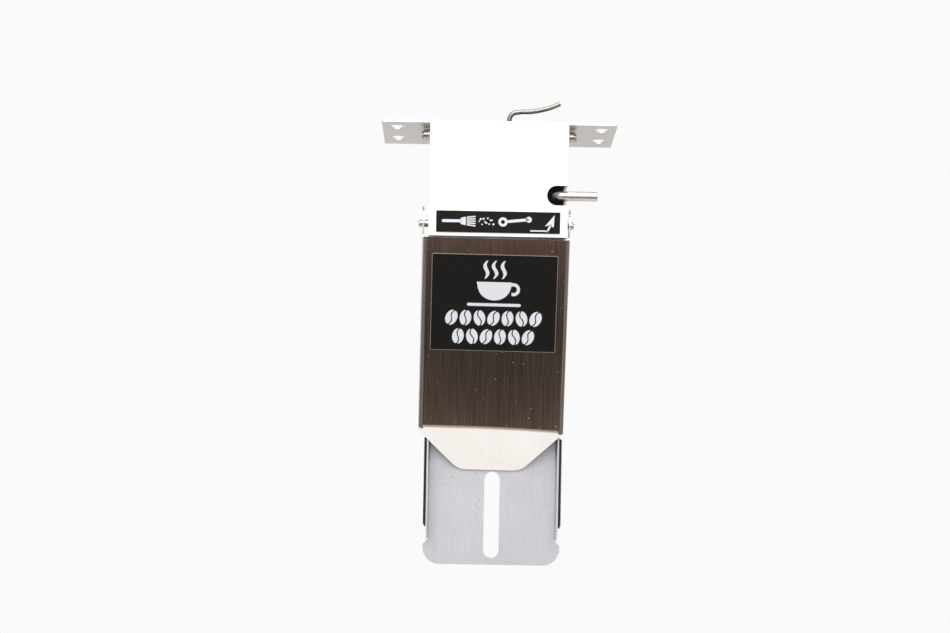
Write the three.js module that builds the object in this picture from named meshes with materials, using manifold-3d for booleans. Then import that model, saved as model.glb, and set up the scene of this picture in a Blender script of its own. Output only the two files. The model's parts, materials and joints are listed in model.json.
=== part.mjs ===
// Discharge chute of a shop coffee grinder: a mounting plate that screws under the grinder, a folded housing
// with a cleaning lever, a swinging front cover, and a long channel that a coffee bag is slipped over.
// Millimetres. +X is to the right and +Y to the back, as seen from the front, and +Z is up.
// The working frame has y = 0 on the housing's front face and z = 0 at its top edge. The origin of the
// exported group is a point on the mounting plate's top face, behind the inlet.
import * as THREE from 'three';
import { mergeVertices } from 'three/addons/utils/BufferGeometryUtils.js';
import Module from 'manifold-3d';

const wasm = await Module();
wasm.setup();

const { degToRad } = THREE.MathUtils;

// Clearances
const restGap = 0.3; // between two pieces that rest on each other
const glueGap = 0.12; // under a label
const screwPlay = 0.4; // round a screw or rivet, on the radius
const turnPlay = 0.25; // round a part that turns, on the radius
const bendSteps = 6; // flats in a bend
const roundSides = 24; // flats round a pin or hole

// Heights on the housing, from its top edge down: the lever's shaft, the cover's hinge, the bottom edge
const leverDrop = 48.8;
const hingeBelowLever = 19;
const housingBelowHinge = 8.9;

// Housing: a folded sheet, open at the back
const housingWidth = 93;
const housingBackGap = 3; // its sides stop this far in front of the channel's web
const housingSheet = 1.2;
const housingBend = 1.8; // bend radius at the middle of the sheet

// Mounting plate, which slopes down to the back
const plateWidth = 157.5;
const plateDepth = 58;
const plateSheet = 1.5;
const plateTilt = degToRad(8.7);
const plateSetback = 2; // its front edge lies this far behind the housing's front face
const plateBend = 1.75;
const plateHoleAcross = 9;
const plateHoleAlong = 11;
const plateHoleInset = 9.75; // from the side edge to the middle of a hole
const plateHoleRows = [13.6, 42];
const inletFront = 9;
const inletWebGap = 6.4; // from the inlet's rear edge to the channel's web
const inletRelief = 0.8;
const tabAboveBracket = 7;
const mountPoint = 48; // from the plate's front edge to the origin

// Channel
const channelSheet = 1;
const channelWebFace = 45; // front face of the web, behind the housing's front face
const channelBend = 2;
const channelTopEdge = 10; // depth of the flanges' front edge beside the housing
const channelLowEdge = 30; // and further down, where the bag grips
const channelNarrowsBelow = 17; // the flanges begin to narrow this far below the cover's top edge
const flangeBelowGrip = 9.5;
const flangeEndBevel = 7;
const footLength = 17.7; // below the flanges' end
const footOverhang = 2.15; // beyond the flanges, on each side
const footCorner = 11.7;
const footFlare = 4.2;
const slotWidth = 10.6;
const slotBelowLip = 1.3;
const slotRim = 4.7; // from the slot's lower end to the channel's lower edge

// Grip strips on the flanges
const gripBelowCover = 8;
const gripLength = 60.5;
const gripBase = 1.05;
const gripTooth = 0.7;
const gripPitch = 2.2;
const gripEdgeInset = 0.8; // behind the flange's front edge
const gripWebGap = 2.2;

// Cover
const coverSideGap = 1.5; // between the housing and the inner face of the cover's side
const coverSheet = 1;
const coverBend = 2.8;
const coverSplay = degToRad(2.6);
const coverTopGap = 1.5; // below the housing
const coverProud = 0.8; // in front of the housing's front face
const coverLength = 128.8; // along the front face, from the top edge to the lip's bend
const coverBendDepth = 21.6; // of the lip's bend behind the housing's front face
const coverFlangeEnd = 16.5; // depth of the flange's rear edge behind the hinge, at the bottom
const coverShift = -0.8; // it has slid this far along its hinge
const coverSkew = degToRad(0.45); // it hangs this far askew in its loose hinge holes
const earRadius = 11.5;
const earShoulder = 2;
const lipDrop = 30.3; // from the bend down to the lip's lower edge
const lipWebGap = 1.5; // from the lip's lower edge to the channel's web
const lipBend = 4;
const lipFullWidthTo = 3;
const lipTaper = 27.5; // taken off each side of the width by the lower edge
const lipCorner = 12;

// Cover hinge
const hingeDepth = 20;
const hingePin = 3.2;
const hingeEarHole = 4.3;
const hingeHead = 5.2;
const hingeHeadThick = 2.2;
const hingeSpacer = 5.3;
const hingeNutAcross = 5.5;
const hingeNutThick = 2.5;

// Upper screws
const screwDepth = 16;
const screwDrop = -8.3;
const screwShank = 4;
const screwHead = 7.6;
const screwHeadThick = 4.2;
const washerOuter = 8.2;
const washerThick = 1;
const screwNutAcross = 7;
const screwNutThick = 3.2;

// Rivets
const tabRivetWebGap = 12; // in front of the channel's web
const rivetShank = 3;
const rivetHead = 5.6;
const rivetHeadThick = 1.3;

// Cleaning lever, which turns about a shaft that runs front to back
const leverInset = 8.1; // from the housing's right side to the shaft
const leverRod = 6.35;
const leverShaft = 5;
const leverDepth = 5; // of the handle's middle line
const leverBend = 5.5;
const leverReach = 19.5; // from the housing's right side to the tip
const leverShoulder = 12.1;
const shaftTail = 0.9; // behind the retaining ring
const notchRadius = 6.65;
const notchOffset = 0.5; // its centre lies this far to the right of the shaft
const notchDepth = 22;
const bracketFace = 12.3;
const bracketSheet = 1.2;
const bracketBend = 1.6;
const bracketReach = 13.4; // to the left of the shaft
const bracketHeight = 31;
const bracketFlangeEnd = 28;
const bracketRivetDepth = 21.5;
const bracketRivetRise = 10.3; // above and below the shaft
const bushingWall = 0.95;
const bushingFlange = 4.9;
const bushingFlangeThick = 0.9;
const sealThick = 1.2;
const sealReach = 10.9;
const sealHeight = 24;
const hubFront = 18;
const hubLength = 9;
const hubRadius = 5;
const hubReach = 9.4; // from the shaft to the wire's clamp
const hubSlant = degToRad(7);
const hubPin = 2;
const wireDiameter = 3.2;
const clampScrew = 3.5;
const ringGroove = 1.9;
const ringThick = 0.8;
const ringOuter = 4.6;
const waveWasherThick = 0.5;
const waveWasherSpan = 1.3;
const thrustWasherThick = 0.8;

// Labels
const labelThick = 0.3;
const labelCorner = 0.8;
const leverLabel = { inset: 5.1, rise: 2.1, height: 14.6 }; // from the housing's sides and bottom edge
const coverLabel = { inset: 7, from: 10.9, to: 76.1, offset: -0.5 }; // from the cover's sides and top edge

// Derived places
const housingHalf = housingWidth / 2;
const housingHeight = leverDrop + hingeBelowLever + housingBelowHinge;
const housingDepth = channelWebFace - housingBackGap;
const channelHalf = housingHalf - housingSheet - restGap;
const channelInner = channelHalf - channelSheet;
const tabOuter = channelInner - restGap;
const tabInner = tabOuter - plateSheet;
const channelWebBack = channelWebFace + channelSheet;
const plateUnderside = (y) => -(y - plateSetback) * Math.tan(plateTilt) - plateSheet / Math.cos(plateTilt);
const leverX = housingHalf - leverInset;
const leverZ = -leverDrop;
const leverTip = housingHalf + leverReach;
const hingeDrop = leverZ - hingeBelowLever;
const bracketTop = leverZ + bracketHeight / 2;
const bracketBottom = leverZ - bracketHeight / 2;
const bracketLeft = leverX - bracketReach;
const bracketRivetDrops = { upper: leverZ + bracketRivetRise, lower: leverZ - bracketRivetRise };
const inletBack = (channelWebFace - inletWebGap - plateSetback) / Math.cos(plateTilt);
const tabEnd = bracketTop + tabAboveBracket;
const tabDrop = -(tabEnd + inletBack * Math.sin(plateTilt)) / Math.cos(plateTilt);
const tabRivetDepth = channelWebFace - tabRivetWebGap;
const tabRivetDrop = (plateUnderside(tabRivetDepth) + tabEnd) / 2;
const coverWidth = housingWidth + 2 * (coverSideGap + coverSheet);
const coverLean = Math.asin((coverProud + coverBendDepth) / coverLength);
const coverTop = -housingHeight - coverTopGap;
const coverBottom = coverTop - coverLength * Math.cos(coverLean);
const lipEnd = coverBottom - lipDrop;
const gripTop = coverBottom - gripBelowCover;
const gripBottom = gripTop - gripLength;
const flangeEnd = gripBottom - flangeBelowGrip;
const channelEnd = flangeEnd - footLength;
const footWidth = 2 * (channelHalf + footOverhang);
const slotTop = lipEnd - slotBelowLip;
const slotBottom = channelEnd + slotRim;

// ---- shape helpers ----

function solid(geometry) {
  const bare = geometry.index ? geometry.toNonIndexed() : geometry.clone();
  bare.deleteAttribute('normal');
  bare.deleteAttribute('uv');
  const merged = mergeVertices(bare, 1e-4);
  return new wasm.Manifold(new wasm.Mesh({
    numProp: 3,
    vertProperties: new Float32Array(merged.attributes.position.array),
    triVerts: new Uint32Array(merged.index.array),
  }));
}

function geometryOf(body) {
  const mesh = body.getMesh();
  const geometry = new THREE.BufferGeometry();
  const corners = new Float32Array(mesh.numVert * 3);
  for (let i = 0; i < mesh.numVert; i += 1) {
    for (let k = 0; k < 3; k += 1) corners[3 * i + k] = mesh.vertProperties[mesh.numProp * i + k];
  }
  geometry.setAttribute('position', new THREE.BufferAttribute(corners, 3));
  geometry.setIndex(new THREE.BufferAttribute(new Uint32Array(mesh.triVerts), 1));
  geometry.computeVertexNormals();
  return geometry;
}

function extrude(shape, length, curveSegments = bendSteps) {
  return new THREE.ExtrudeGeometry(shape, { depth: length, bevelEnabled: false, curveSegments });
}

// An outline in X and Y, raised along Z
function alongZ(shape, from, to, curveSegments) {
  return extrude(shape, to - from, curveSegments).translate(0, 0, from);
}

// An outline in Y and Z, drawn out along X
function alongX(shape, from, to, curveSegments) {
  const turn = new THREE.Matrix4().makeBasis(
    new THREE.Vector3(0, 1, 0), new THREE.Vector3(0, 0, 1), new THREE.Vector3(1, 0, 0));
  return extrude(shape, to - from, curveSegments).applyMatrix4(turn).translate(from, 0, 0);
}

// An outline in X and Z, drawn out along Y
function alongY(shape, from, to, curveSegments) {
  const turn = new THREE.Matrix4().makeBasis(
    new THREE.Vector3(1, 0, 0), new THREE.Vector3(0, 0, 1), new THREE.Vector3(0, -1, 0));
  return extrude(shape, to - from, curveSegments).applyMatrix4(turn).translate(0, to, 0);
}

function polygon(points) {
  return new THREE.Shape(points.map(([x, y]) => new THREE.Vector2(x, y)));
}

// A closed outline whose corners [x, y, radius] are rounded by arcs
function rounded(corners, steps = bendSteps) {
  const outline = [];
  corners.forEach(([x, y, radius = 0], i) => {
    const here = new THREE.Vector2(x, y);
    if (radius === 0) {
      outline.push(here);
      return;
    }
    const before = corners[(i + corners.length - 1) % corners.length];
    const after = corners[(i + 1) % corners.length];
    const arc = filletArc(new THREE.Vector2(...before.slice(0, 2)), here,
      new THREE.Vector2(...after.slice(0, 2)), radius, steps);
    outline.push(...arc.map(({ point }) => point));
  });
  return new THREE.Shape(outline);
}

// The arc that rounds the corner at b between a and c, as points with the arc's own left-hand normals
function filletArc(a, b, c, radius, steps) {
  const into = b.clone().sub(a).normalize();
  const out = c.clone().sub(b).normalize();
  const turn = Math.atan2(into.cross(out), into.dot(out));
  const side = Math.sign(turn);
  const cut = radius * Math.tan(Math.abs(turn) / 2);
  const start = b.clone().addScaledVector(into, -cut);
  const left = new THREE.Vector2(-into.y, into.x);
  const centre = start.clone().addScaledVector(left, side * radius);
  return Array.from({ length: steps + 1 }, (_, k) => {
    const normal = left.clone().rotateAround(new THREE.Vector2(), (turn * k) / steps);
    return { point: centre.clone().addScaledVector(normal, -side * radius), normal };
  });
}

// The section of a bent sheet: its middle line's corners, rounded to one radius and given a thickness
function sheetSection(corners, radius, thickness) {
  const points = corners.map(([x, y]) => new THREE.Vector2(x, y));
  const line = [];
  points.forEach((point, i) => {
    if (i > 0 && i < points.length - 1) {
      line.push(...filletArc(points[i - 1], point, points[i + 1], radius, bendSteps));
      return;
    }
    const along = i === 0 ? points[1].clone().sub(point) : point.clone().sub(points[i - 1]);
    along.normalize();
    line.push({ point, normal: new THREE.Vector2(-along.y, along.x) });
  });
  const side = (offset) => line.map(({ point, normal }) => point.clone().addScaledVector(normal, offset));
  return new THREE.Shape([...side(thickness / 2), ...side(-thickness / 2).reverse()]);
}

function circle(x, y, radius) {
  return new THREE.Shape().absarc(x, y, radius, 0, 2 * Math.PI, false);
}

function regular(sides, across) {
  const radius = across / 2 / Math.cos(Math.PI / sides);
  return polygon(Array.from({ length: sides }, (_, i) => {
    const angle = (2 * Math.PI * (i + 0.5)) / sides;
    return [radius * Math.cos(angle), radius * Math.sin(angle)];
  }));
}

// Points of a half circle that starts at an angle and runs anticlockwise
function halfRound(x, y, radius, start) {
  return Array.from({ length: roundSides / 2 + 1 }, (_, i) => {
    const angle = start + (2 * Math.PI * i) / roundSides;
    return [x + radius * Math.cos(angle), y + radius * Math.sin(angle)];
  });
}

// An upright slot with round ends
function obround(x, bottom, top, width) {
  const r = width / 2;
  return new THREE.Shape()
    .absarc(x, top - r, r, 0, Math.PI, false)
    .absarc(x, bottom + r, r, Math.PI, 2 * Math.PI, false);
}

// A round bar along X, Y or Z
const barX = (y, z, radius, from, to) => solid(alongX(circle(y, z, radius), from, to, roundSides / 2));
const barY = (x, z, radius, from, to) => solid(alongY(circle(x, z, radius), from, to, roundSides / 2));
const block = (shape, from, to, way) => solid(way(shape, from, to));

// A ring or turned part: profile corners [radius, height], turned about an axis that points along +Z
function turned(profile) {
  const points = profile.map(([r, h]) => new THREE.Vector2(r, h));
  points.push(points[0].clone());
  return new THREE.LatheGeometry(points, roundSides).rotateX(Math.PI / 2);
}

const ring = (inner, outer, from, to) => turned([[inner, from], [outer, from], [outer, to], [inner, to]]);

// Turns a part made about +Z to point along +Y or along +X or -X
const pointY = (geometry) => geometry.rotateX(-Math.PI / 2);
const pointSide = (geometry, side) => geometry.rotateY((side * Math.PI) / 2);

// ---- the pieces' materials ----

const finish = (color, roughness, metalness) => () => new THREE.MeshStandardMaterial({ color, roughness, metalness });
const whitePaint = finish('#f6f6f5', 0.45, 0);
const plateAluminium = finish('#c6c7c8', 0.5, 0.9);
const channelAluminium = finish('#c9cace', 0.42, 0.9);
const brushedSteel = finish('#bdb6ae', 0.3, 1);
const polishedSteel = finish('#c9c9c7', 0.2, 1);
const zincSteel = finish('#b9bbbc', 0.4, 1);
const blackRubber = finish('#2b2a29', 0.85, 0);
const blackLabel = finish('#1f1f1e', 0.5, 0);
const bronze = finish('#9c7a45', 0.5, 0.9);
const blackSteel = finish('#2d2c2b', 0.55, 0.6);

// ---- the assembly ----

const chute = new THREE.Group();
chute.position.set(
  0,
  -plateSetback - mountPoint * Math.cos(plateTilt),
  mountPoint * Math.sin(plateTilt),
);

function add(name, body, material, parent = chute) {
  const geometry = body.isBufferGeometry ? body : geometryOf(body);
  const mesh = new THREE.Mesh(geometry, material());
  mesh.name = name;
  parent.add(mesh);
  return mesh;
}

const sides = { left: -1, right: 1 };

// ---- mounting plate, in its own sloping frame: y runs back from its front edge, z = 0 is its top ----

const plateFrame = new THREE.Group();
plateFrame.position.set(0, plateSetback, 0);
plateFrame.rotation.x = -plateTilt;
chute.add(plateFrame);

function mountingPlate() {
  const half = plateWidth / 2;
  const bendEnd = tabOuter + plateBend + plateSheet / 2;
  let plate = block(polygon([[-half, 0], [half, 0], [half, plateDepth], [-half, plateDepth]]),
    -plateSheet, 0, alongZ);
  const opening = polygon([
    [-bendEnd, inletFront - inletRelief], [bendEnd, inletFront - inletRelief],
    [bendEnd, inletBack + inletRelief], [-bendEnd, inletBack + inletRelief],
  ]);
  plate = plate.subtract(block(opening, -2 * plateSheet, plateSheet, alongZ));
  for (const side of Object.values(sides)) {
    const tab = sheetSection([
      [side * (bendEnd + plateSheet), -plateSheet / 2],
      [side * (tabOuter - plateSheet / 2), -plateSheet / 2],
      [side * (tabOuter - plateSheet / 2), -tabDrop],
    ], plateBend, plateSheet);
    plate = plate.add(block(tab, inletFront, inletBack, alongY));
    const holeX = side * (half - plateHoleInset);
    for (const row of plateHoleRows) {
      const hole = obround(holeX, row - plateHoleAlong / 2, row + plateHoleAlong / 2, plateHoleAcross);
      plate = plate.subtract(block(hole, -2 * plateSheet, plateSheet, alongZ));
    }
  }
  return plate;
}

// The screw and rivet holes run level through the tabs, so they are cut in the working frame
function inPlateFrame(body) {
  plateFrame.updateMatrix();
  const back = plateFrame.matrix.clone().invert();
  return solid(geometryOf(body).applyMatrix4(back));
}

const screwHole = barX(screwDepth, screwDrop, screwShank / 2 + screwPlay, -housingWidth, housingWidth);
const tabRivetHole = barX(tabRivetDepth, tabRivetDrop, rivetShank / 2 + screwPlay, -housingWidth, housingWidth);
const hingeHole = barX(hingeDepth, hingeDrop, hingePin / 2 + screwPlay, -housingWidth, housingWidth);

add('mounting_plate', mountingPlate().subtract(inPlateFrame(screwHole)).subtract(inPlateFrame(tabRivetHole)),
  plateAluminium, plateFrame);

// ---- housing ----

function housing() {
  const wall = housingHalf - housingSheet / 2;
  const section = sheetSection([
    [-wall, housingDepth], [-wall, housingSheet / 2], [wall, housingSheet / 2], [wall, housingDepth],
  ], housingBend, housingSheet);
  const past = housingDepth + plateSheet;
  const sidesAbove = polygon([
    [housingSheet, plateUnderside(housingSheet) - restGap], [past, plateUnderside(past) - restGap],
    [past, housingSheet], [housingSheet, housingSheet],
  ]);
  const notch = new THREE.Shape()
    .moveTo(housingWidth, leverZ + notchRadius)
    .lineTo(leverX + notchOffset, leverZ + notchRadius)
    .absarc(leverX + notchOffset, leverZ, notchRadius, Math.PI / 2, 1.5 * Math.PI, false)
    .lineTo(housingWidth, leverZ - notchRadius);
  return block(section, -housingHeight, 0, alongZ)
    .subtract(block(sidesAbove, -housingWidth, housingWidth, alongX))
    .subtract(solid(alongY(notch, -housingSheet, notchDepth, roundSides / 2)))
    .subtract(screwHole)
    .subtract(hingeHole);
}

add('housing', housing(), whitePaint);

// ---- channel ----

const shaftHole = leverShaft / 2 + turnPlay + bushingWall + restGap;

function channel() {
  const wall = channelHalf - channelSheet / 2;
  const web = channelWebFace + channelSheet / 2;
  const section = sheetSection([
    [-wall, channelTopEdge], [-wall, web], [wall, web], [wall, channelTopEdge],
  ], channelBend, channelSheet);
  const below = plateBend - plateSheet / 2 + restGap + plateSheet / 4;
  const back = channelWebBack;
  const outline = rounded([
    [channelTopEdge, plateUnderside(channelTopEdge) - below],
    [channelTopEdge, coverTop - channelNarrowsBelow, 30],
    [channelLowEdge, coverBottom, 30],
    [channelLowEdge, flangeEnd + flangeEndBevel, 2],
    [channelLowEdge + flangeEndBevel, flangeEnd, 2],
    [back, flangeEnd],
    [back, plateUnderside(back) - below],
  ]);
  const neck = channelHalf - channelBend;
  const foot = rounded([
    [-neck, flangeEnd + footFlare], [-neck, flangeEnd], [-footWidth / 2, flangeEnd - footFlare],
    [-footWidth / 2, channelEnd, footCorner], [footWidth / 2, channelEnd, footCorner],
    [footWidth / 2, flangeEnd - footFlare], [neck, flangeEnd], [neck, flangeEnd + footFlare],
  ]);
  const slot = obround(0, slotBottom, slotTop, slotWidth);
  const rivetHoles = Object.values(bracketRivetDrops).map((drop) =>
    barX(bracketRivetDepth, drop, rivetShank / 2 + screwPlay, 0, housingWidth));
  return block(section, flangeEnd, 0, alongZ)
    .intersect(block(outline, -housingWidth, housingWidth, alongX))
    .add(block(foot, channelWebFace, channelWebBack, alongY))
    .subtract(solid(alongY(slot, channelWebFace - channelSheet, channelWebBack + channelSheet, roundSides / 2)))
    .subtract(barY(leverX, leverZ, shaftHole, channelWebFace - channelSheet, channelWebBack + channelSheet))
    .subtract(screwHole)
    .subtract(tabRivetHole)
    .subtract(hingeHole)
    .subtract(rivetHoles[0])
    .subtract(rivetHoles[1]);
}

add('channel', channel(), channelAluminium);

// ---- grip strips, with teeth that point outwards ----

function gripStrip(side) {
  const face = channelHalf + restGap;
  const count = Math.floor((gripTop - gripBottom) / gripPitch);
  const teeth = Array.from({ length: count }, (_, i) => {
    const z = gripTop - i * gripPitch;
    return [
      [face + gripBase + gripTooth, z - gripPitch * 0.3],
      [face + gripBase + gripTooth, z - gripPitch * 0.6],
      [face + gripBase, z - gripPitch],
    ];
  });
  const outline = [[face, gripTop], [face + gripBase, gripTop], ...teeth.flat(),
    [face + gripBase, gripBottom], [face, gripBottom + gripBase]];
  const front = channelLowEdge + gripEdgeInset;
  return alongY(polygon(outline.map(([x, z]) => [side * x, z])), front, channelWebFace - gripWebGap);
}

for (const [name, side] of Object.entries(sides)) add(`grip_strip_${name}`, gripStrip(side), blackRubber);

// ---- cover, in its own frame: the origin is on the hinge axis ----

const coverFrame = new THREE.Group();
coverFrame.position.set(coverShift, hingeDepth, hingeDrop);
coverFrame.rotation.y = coverSkew;
chute.add(coverFrame);

const coverTopY = -coverProud - hingeDepth;
const coverTopZ = coverTop - hingeDrop;

// From the front face's own axes (x, back from the face, up the face) to the cover's frame
const ontoCoverFace = new THREE.Matrix4()
  .makeTranslation(0, coverTopY, coverTopZ)
  .multiply(new THREE.Matrix4().makeRotationX(coverLean));

function cover() {
  const wall = (coverWidth - coverSheet) / 2;
  const deep = 3 * hingeDepth; // longer than any side of the cover
  const section = sheetSection([
    [-wall - deep * Math.tan(coverSplay), deep], [-wall, coverSheet / 2],
    [wall, coverSheet / 2], [wall + deep * Math.tan(coverSplay), deep],
  ], coverBend, coverSheet);
  const shell = solid(alongZ(section, -coverLength - deep, deep).applyMatrix4(ontoCoverFace));
  const bendY = coverTopY + coverLength * Math.sin(coverLean);
  const bendZ = coverBottom - hingeDrop;
  const outline = rounded([
    [-deep, coverTopZ], [-deep, bendZ], [coverFlangeEnd, bendZ, 3],
    [earRadius, 0], ...earArc(), [-earRadius, 0],
    [-earRadius, coverTopZ, earShoulder],
  ]);
  const hinges = barX(0, 0, hingeEarHole / 2, -coverWidth, coverWidth);
  return shell
    .intersect(block(outline, -coverWidth, coverWidth, alongX))
    .add(lip(bendY, bendZ))
    .subtract(hinges);
}

function earArc() {
  return Array.from({ length: 2 * bendSteps - 1 }, (_, i) => {
    const angle = (Math.PI * (i + 1)) / (2 * bendSteps);
    return [earRadius * Math.cos(angle), earRadius * Math.sin(angle)];
  });
}

// The lip turns back from the front face at the bend, and narrows downwards
function lip(bendY, bendZ) {
  const run = 2 * lipBend;
  const t = coverSheet / 2;
  const up = [-Math.sin(coverLean), Math.cos(coverLean)];
  const cornerY = bendY + t;
  const end = bendZ - lipDrop;
  const section = sheetSection([
    [cornerY + run * up[0], bendZ + run * up[1]],
    [cornerY, bendZ],
    [channelWebFace - lipWebGap - hingeDepth, end],
  ], lipBend, coverSheet);
  const half = coverWidth / 2;
  const flat = half - coverBend - t;
  const widest = bendZ - lipFullWidthTo;
  const lower = half - lipTaper;
  const outline = rounded([
    [-flat, bendZ + run], [-flat, bendZ + lipBend], [-half, bendZ], [-half, widest, 2],
    [-lower, end, lipCorner], [lower, end, lipCorner],
    [half, widest, 2], [half, bendZ], [flat, bendZ + lipBend], [flat, bendZ + run],
  ]);
  return block(section, -half, half, alongX).intersect(block(outline, -coverWidth, coverWidth, alongY));
}

add('cover', cover(), brushedSteel, coverFrame);

const labelOutline = (left, right, bottom, top) => rounded([
  [left, bottom, labelCorner], [right, bottom, labelCorner],
  [right, top, labelCorner], [left, top, labelCorner],
], 3);

function coverLabelGeometry() {
  const half = coverWidth / 2 - coverLabel.inset;
  const outline = labelOutline(coverLabel.offset - half, coverLabel.offset + half,
    -coverLabel.to, -coverLabel.from);
  return alongY(outline, -glueGap - labelThick, -glueGap).applyMatrix4(ontoCoverFace);
}

add('cover_label', coverLabelGeometry(), blackLabel, coverFrame);

function leverLabelGeometry() {
  const half = housingHalf - leverLabel.inset;
  const bottom = leverLabel.rise - housingHeight;
  return alongY(labelOutline(-half, half, bottom, bottom + leverLabel.height),
    -glueGap - labelThick, -glueGap);
}

add('lever_label', leverLabelGeometry(), blackLabel);

// ---- cover hinge: on each side a screw, a spacer and a nut ----

// How far out the ear's outer face lies at the hinge, on the cover's own middle line
const earBack = hingeDepth * Math.cos(coverLean) + coverProud;
const earOuter = coverWidth / 2 + earBack * Math.tan(coverSplay);
const earSlack = hingeSpacer * Math.tan(coverSplay) / 2 + turnPlay;

for (const [name, side] of Object.entries(sides)) {
  const earOut = earOuter + side * coverShift;
  const earIn = earOut - coverSheet / Math.cos(coverSplay);
  const head = earOut + earSlack;
  const nutFrom = channelInner - restGap;
  const seat = (geometry) => pointSide(geometry, side).translate(0, hingeDepth, hingeDrop);
  const nut = block(regular(6, hingeNutAcross), nutFrom - hingeNutThick, nutFrom, alongZ)
    .subtract(solid(ring(0, hingePin / 2 + turnPlay, 0, housingWidth)));
  add(`hinge_screw_${name}`, seat(turned([
    [0, nutFrom - hingeNutThick - 1], [hingePin / 2, nutFrom - hingeNutThick - 1], [hingePin / 2, head],
    [hingeHead / 2, head], [hingeHead / 2, head + hingeHeadThick * 0.6],
    [hingeHead * 0.36, head + hingeHeadThick], [0, head + hingeHeadThick],
  ])), polishedSteel);
  add(`hinge_spacer_${name}`,
    seat(ring(hingePin / 2 + turnPlay, hingeSpacer / 2, housingHalf + turnPlay, earIn - earSlack)), zincSteel);
  add(`hinge_nut_${name}`, seat(geometryOf(nut)), zincSteel);
}

// ---- upper screws: through the housing, the channel and the plate's tab ----

for (const [name, side] of Object.entries(sides)) {
  const seat = (geometry) => pointSide(geometry, side).translate(0, screwDepth, screwDrop);
  const washer = housingHalf + turnPlay;
  const head = washer + washerThick + turnPlay;
  const nutFrom = tabInner - restGap;
  const screwEnd = nutFrom - screwNutThick - 1;
  const nut = block(regular(6, screwNutAcross), nutFrom - screwNutThick, nutFrom, alongZ)
    .subtract(solid(ring(0, screwShank / 2 + turnPlay, 0, housingWidth)));
  add(`upper_screw_${name}`, seat(turned([
    [0, screwEnd], [screwShank / 2, screwEnd], [screwShank / 2, head], [screwHead / 2, head],
    [screwHead / 2, head + screwHeadThick * 0.55], [screwHead * 0.44, head + screwHeadThick * 0.82],
    [screwHead * 0.3, head + screwHeadThick], [0, head + screwHeadThick],
  ])), polishedSteel);
  add(`upper_washer_${name}`,
    seat(ring(screwShank / 2 + turnPlay, washerOuter / 2, washer, washer + washerThick)), zincSteel);
  add(`upper_nut_${name}`, seat(geometryOf(nut)), zincSteel);
}

// ---- rivets: each lies flush with the channel's outer face and has its head inside ----

function rivet(depth, drop, side, seatX) {
  return pointSide(turned([
    [0, seatX - rivetHeadThick], [rivetHead * 0.3, seatX - rivetHeadThick],
    [rivetHead / 2, seatX - rivetHeadThick * 0.4], [rivetHead / 2, seatX],
    [rivetShank / 2, seatX], [rivetShank / 2, channelHalf], [0, channelHalf],
  ]), side).translate(0, depth, drop);
}

for (const [name, side] of Object.entries(sides)) {
  add(`tab_rivet_${name}`, rivet(tabRivetDepth, tabRivetDrop, side, tabInner - turnPlay), zincSteel);
}

// ---- lever bracket, with its rivets, the bushings and the dust seal ----

const bracketOuter = channelInner - restGap;

function leverBracket() {
  const wall = bracketOuter - bracketSheet / 2;
  const face = bracketFace + bracketSheet / 2;
  const section = sheetSection([
    [bracketLeft, face], [wall, face], [wall, bracketFlangeEnd],
  ], bracketBend, bracketSheet);
  const relief = hubRadius + 2;
  const window = polygon([
    [leverZ - relief, bracketFace + bracketSheet], [leverZ + relief, bracketFace + bracketSheet],
    [leverZ + relief, bracketFlangeEnd + bracketSheet], [leverZ - relief, bracketFlangeEnd + bracketSheet],
  ].map(([z, y]) => [y, z]));
  let bracket = block(section, bracketBottom, bracketTop, alongZ)
    .subtract(block(window, bracketLeft, housingWidth, alongX))
    .subtract(barY(leverX, leverZ, shaftHole, 0, channelWebFace));
  for (const drop of Object.values(bracketRivetDrops)) {
    bracket = bracket.subtract(
      barX(bracketRivetDepth, drop, rivetShank / 2 + screwPlay, bracketLeft, housingWidth));
  }
  return bracket;
}

add('lever_bracket', leverBracket(), blackSteel);
for (const [name, drop] of Object.entries(bracketRivetDrops)) {
  add(`bracket_rivet_${name}`,
    rivet(bracketRivetDepth, drop, 1, bracketOuter - bracketSheet - turnPlay), zincSteel);
}

const onShaft = (geometry) => pointY(geometry).translate(leverX, 0, leverZ);
const bore = leverShaft / 2 + turnPlay;

// A flanged bushing whose sleeve lies in the sheet between from and to, with its flange on one side
function bushing(from, to, flangeFrom) {
  const flangeTo = flangeFrom + bushingFlangeThick;
  const sleeve = bore + bushingWall;
  const first = Math.min(from, flangeFrom);
  const last = Math.max(to, flangeTo);
  return onShaft(turned(flangeFrom > from
    ? [[bore, first], [sleeve, first], [sleeve, flangeFrom], [bushingFlange, flangeFrom],
      [bushingFlange, flangeTo], [bore, flangeTo]]
    : [[bore, flangeFrom], [bushingFlange, flangeFrom], [bushingFlange, flangeTo], [sleeve, flangeTo],
      [sleeve, last], [bore, last]]));
}

const bracketBack = bracketFace + bracketSheet;
add('front_bushing', bushing(bracketFace, bracketBack, bracketBack + restGap), bronze);
add('rear_bushing',
  bushing(channelWebFace, channelWebBack, channelWebFace - restGap - bushingFlangeThick), bronze);

function dustSeal() {
  const back = bracketFace - turnPlay;
  const low = leverZ - sealHeight / 2;
  const high = leverZ + sealHeight / 2;
  const left = leverX - sealReach;
  const right = bracketOuter - restGap;
  return block(rounded([[left, low, 3], [right, low, 3], [right, high, 3], [left, high, 3]]),
    back - sealThick, back, alongY)
    .subtract(barY(leverX, leverZ, leverRod / 2 + 2 * turnPlay, 0, channelWebFace));
}

add('dust_seal', dustSeal(), blackRubber);

// ---- cleaning lever: a bent rod whose rear part is turned down to a shaft ----

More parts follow.
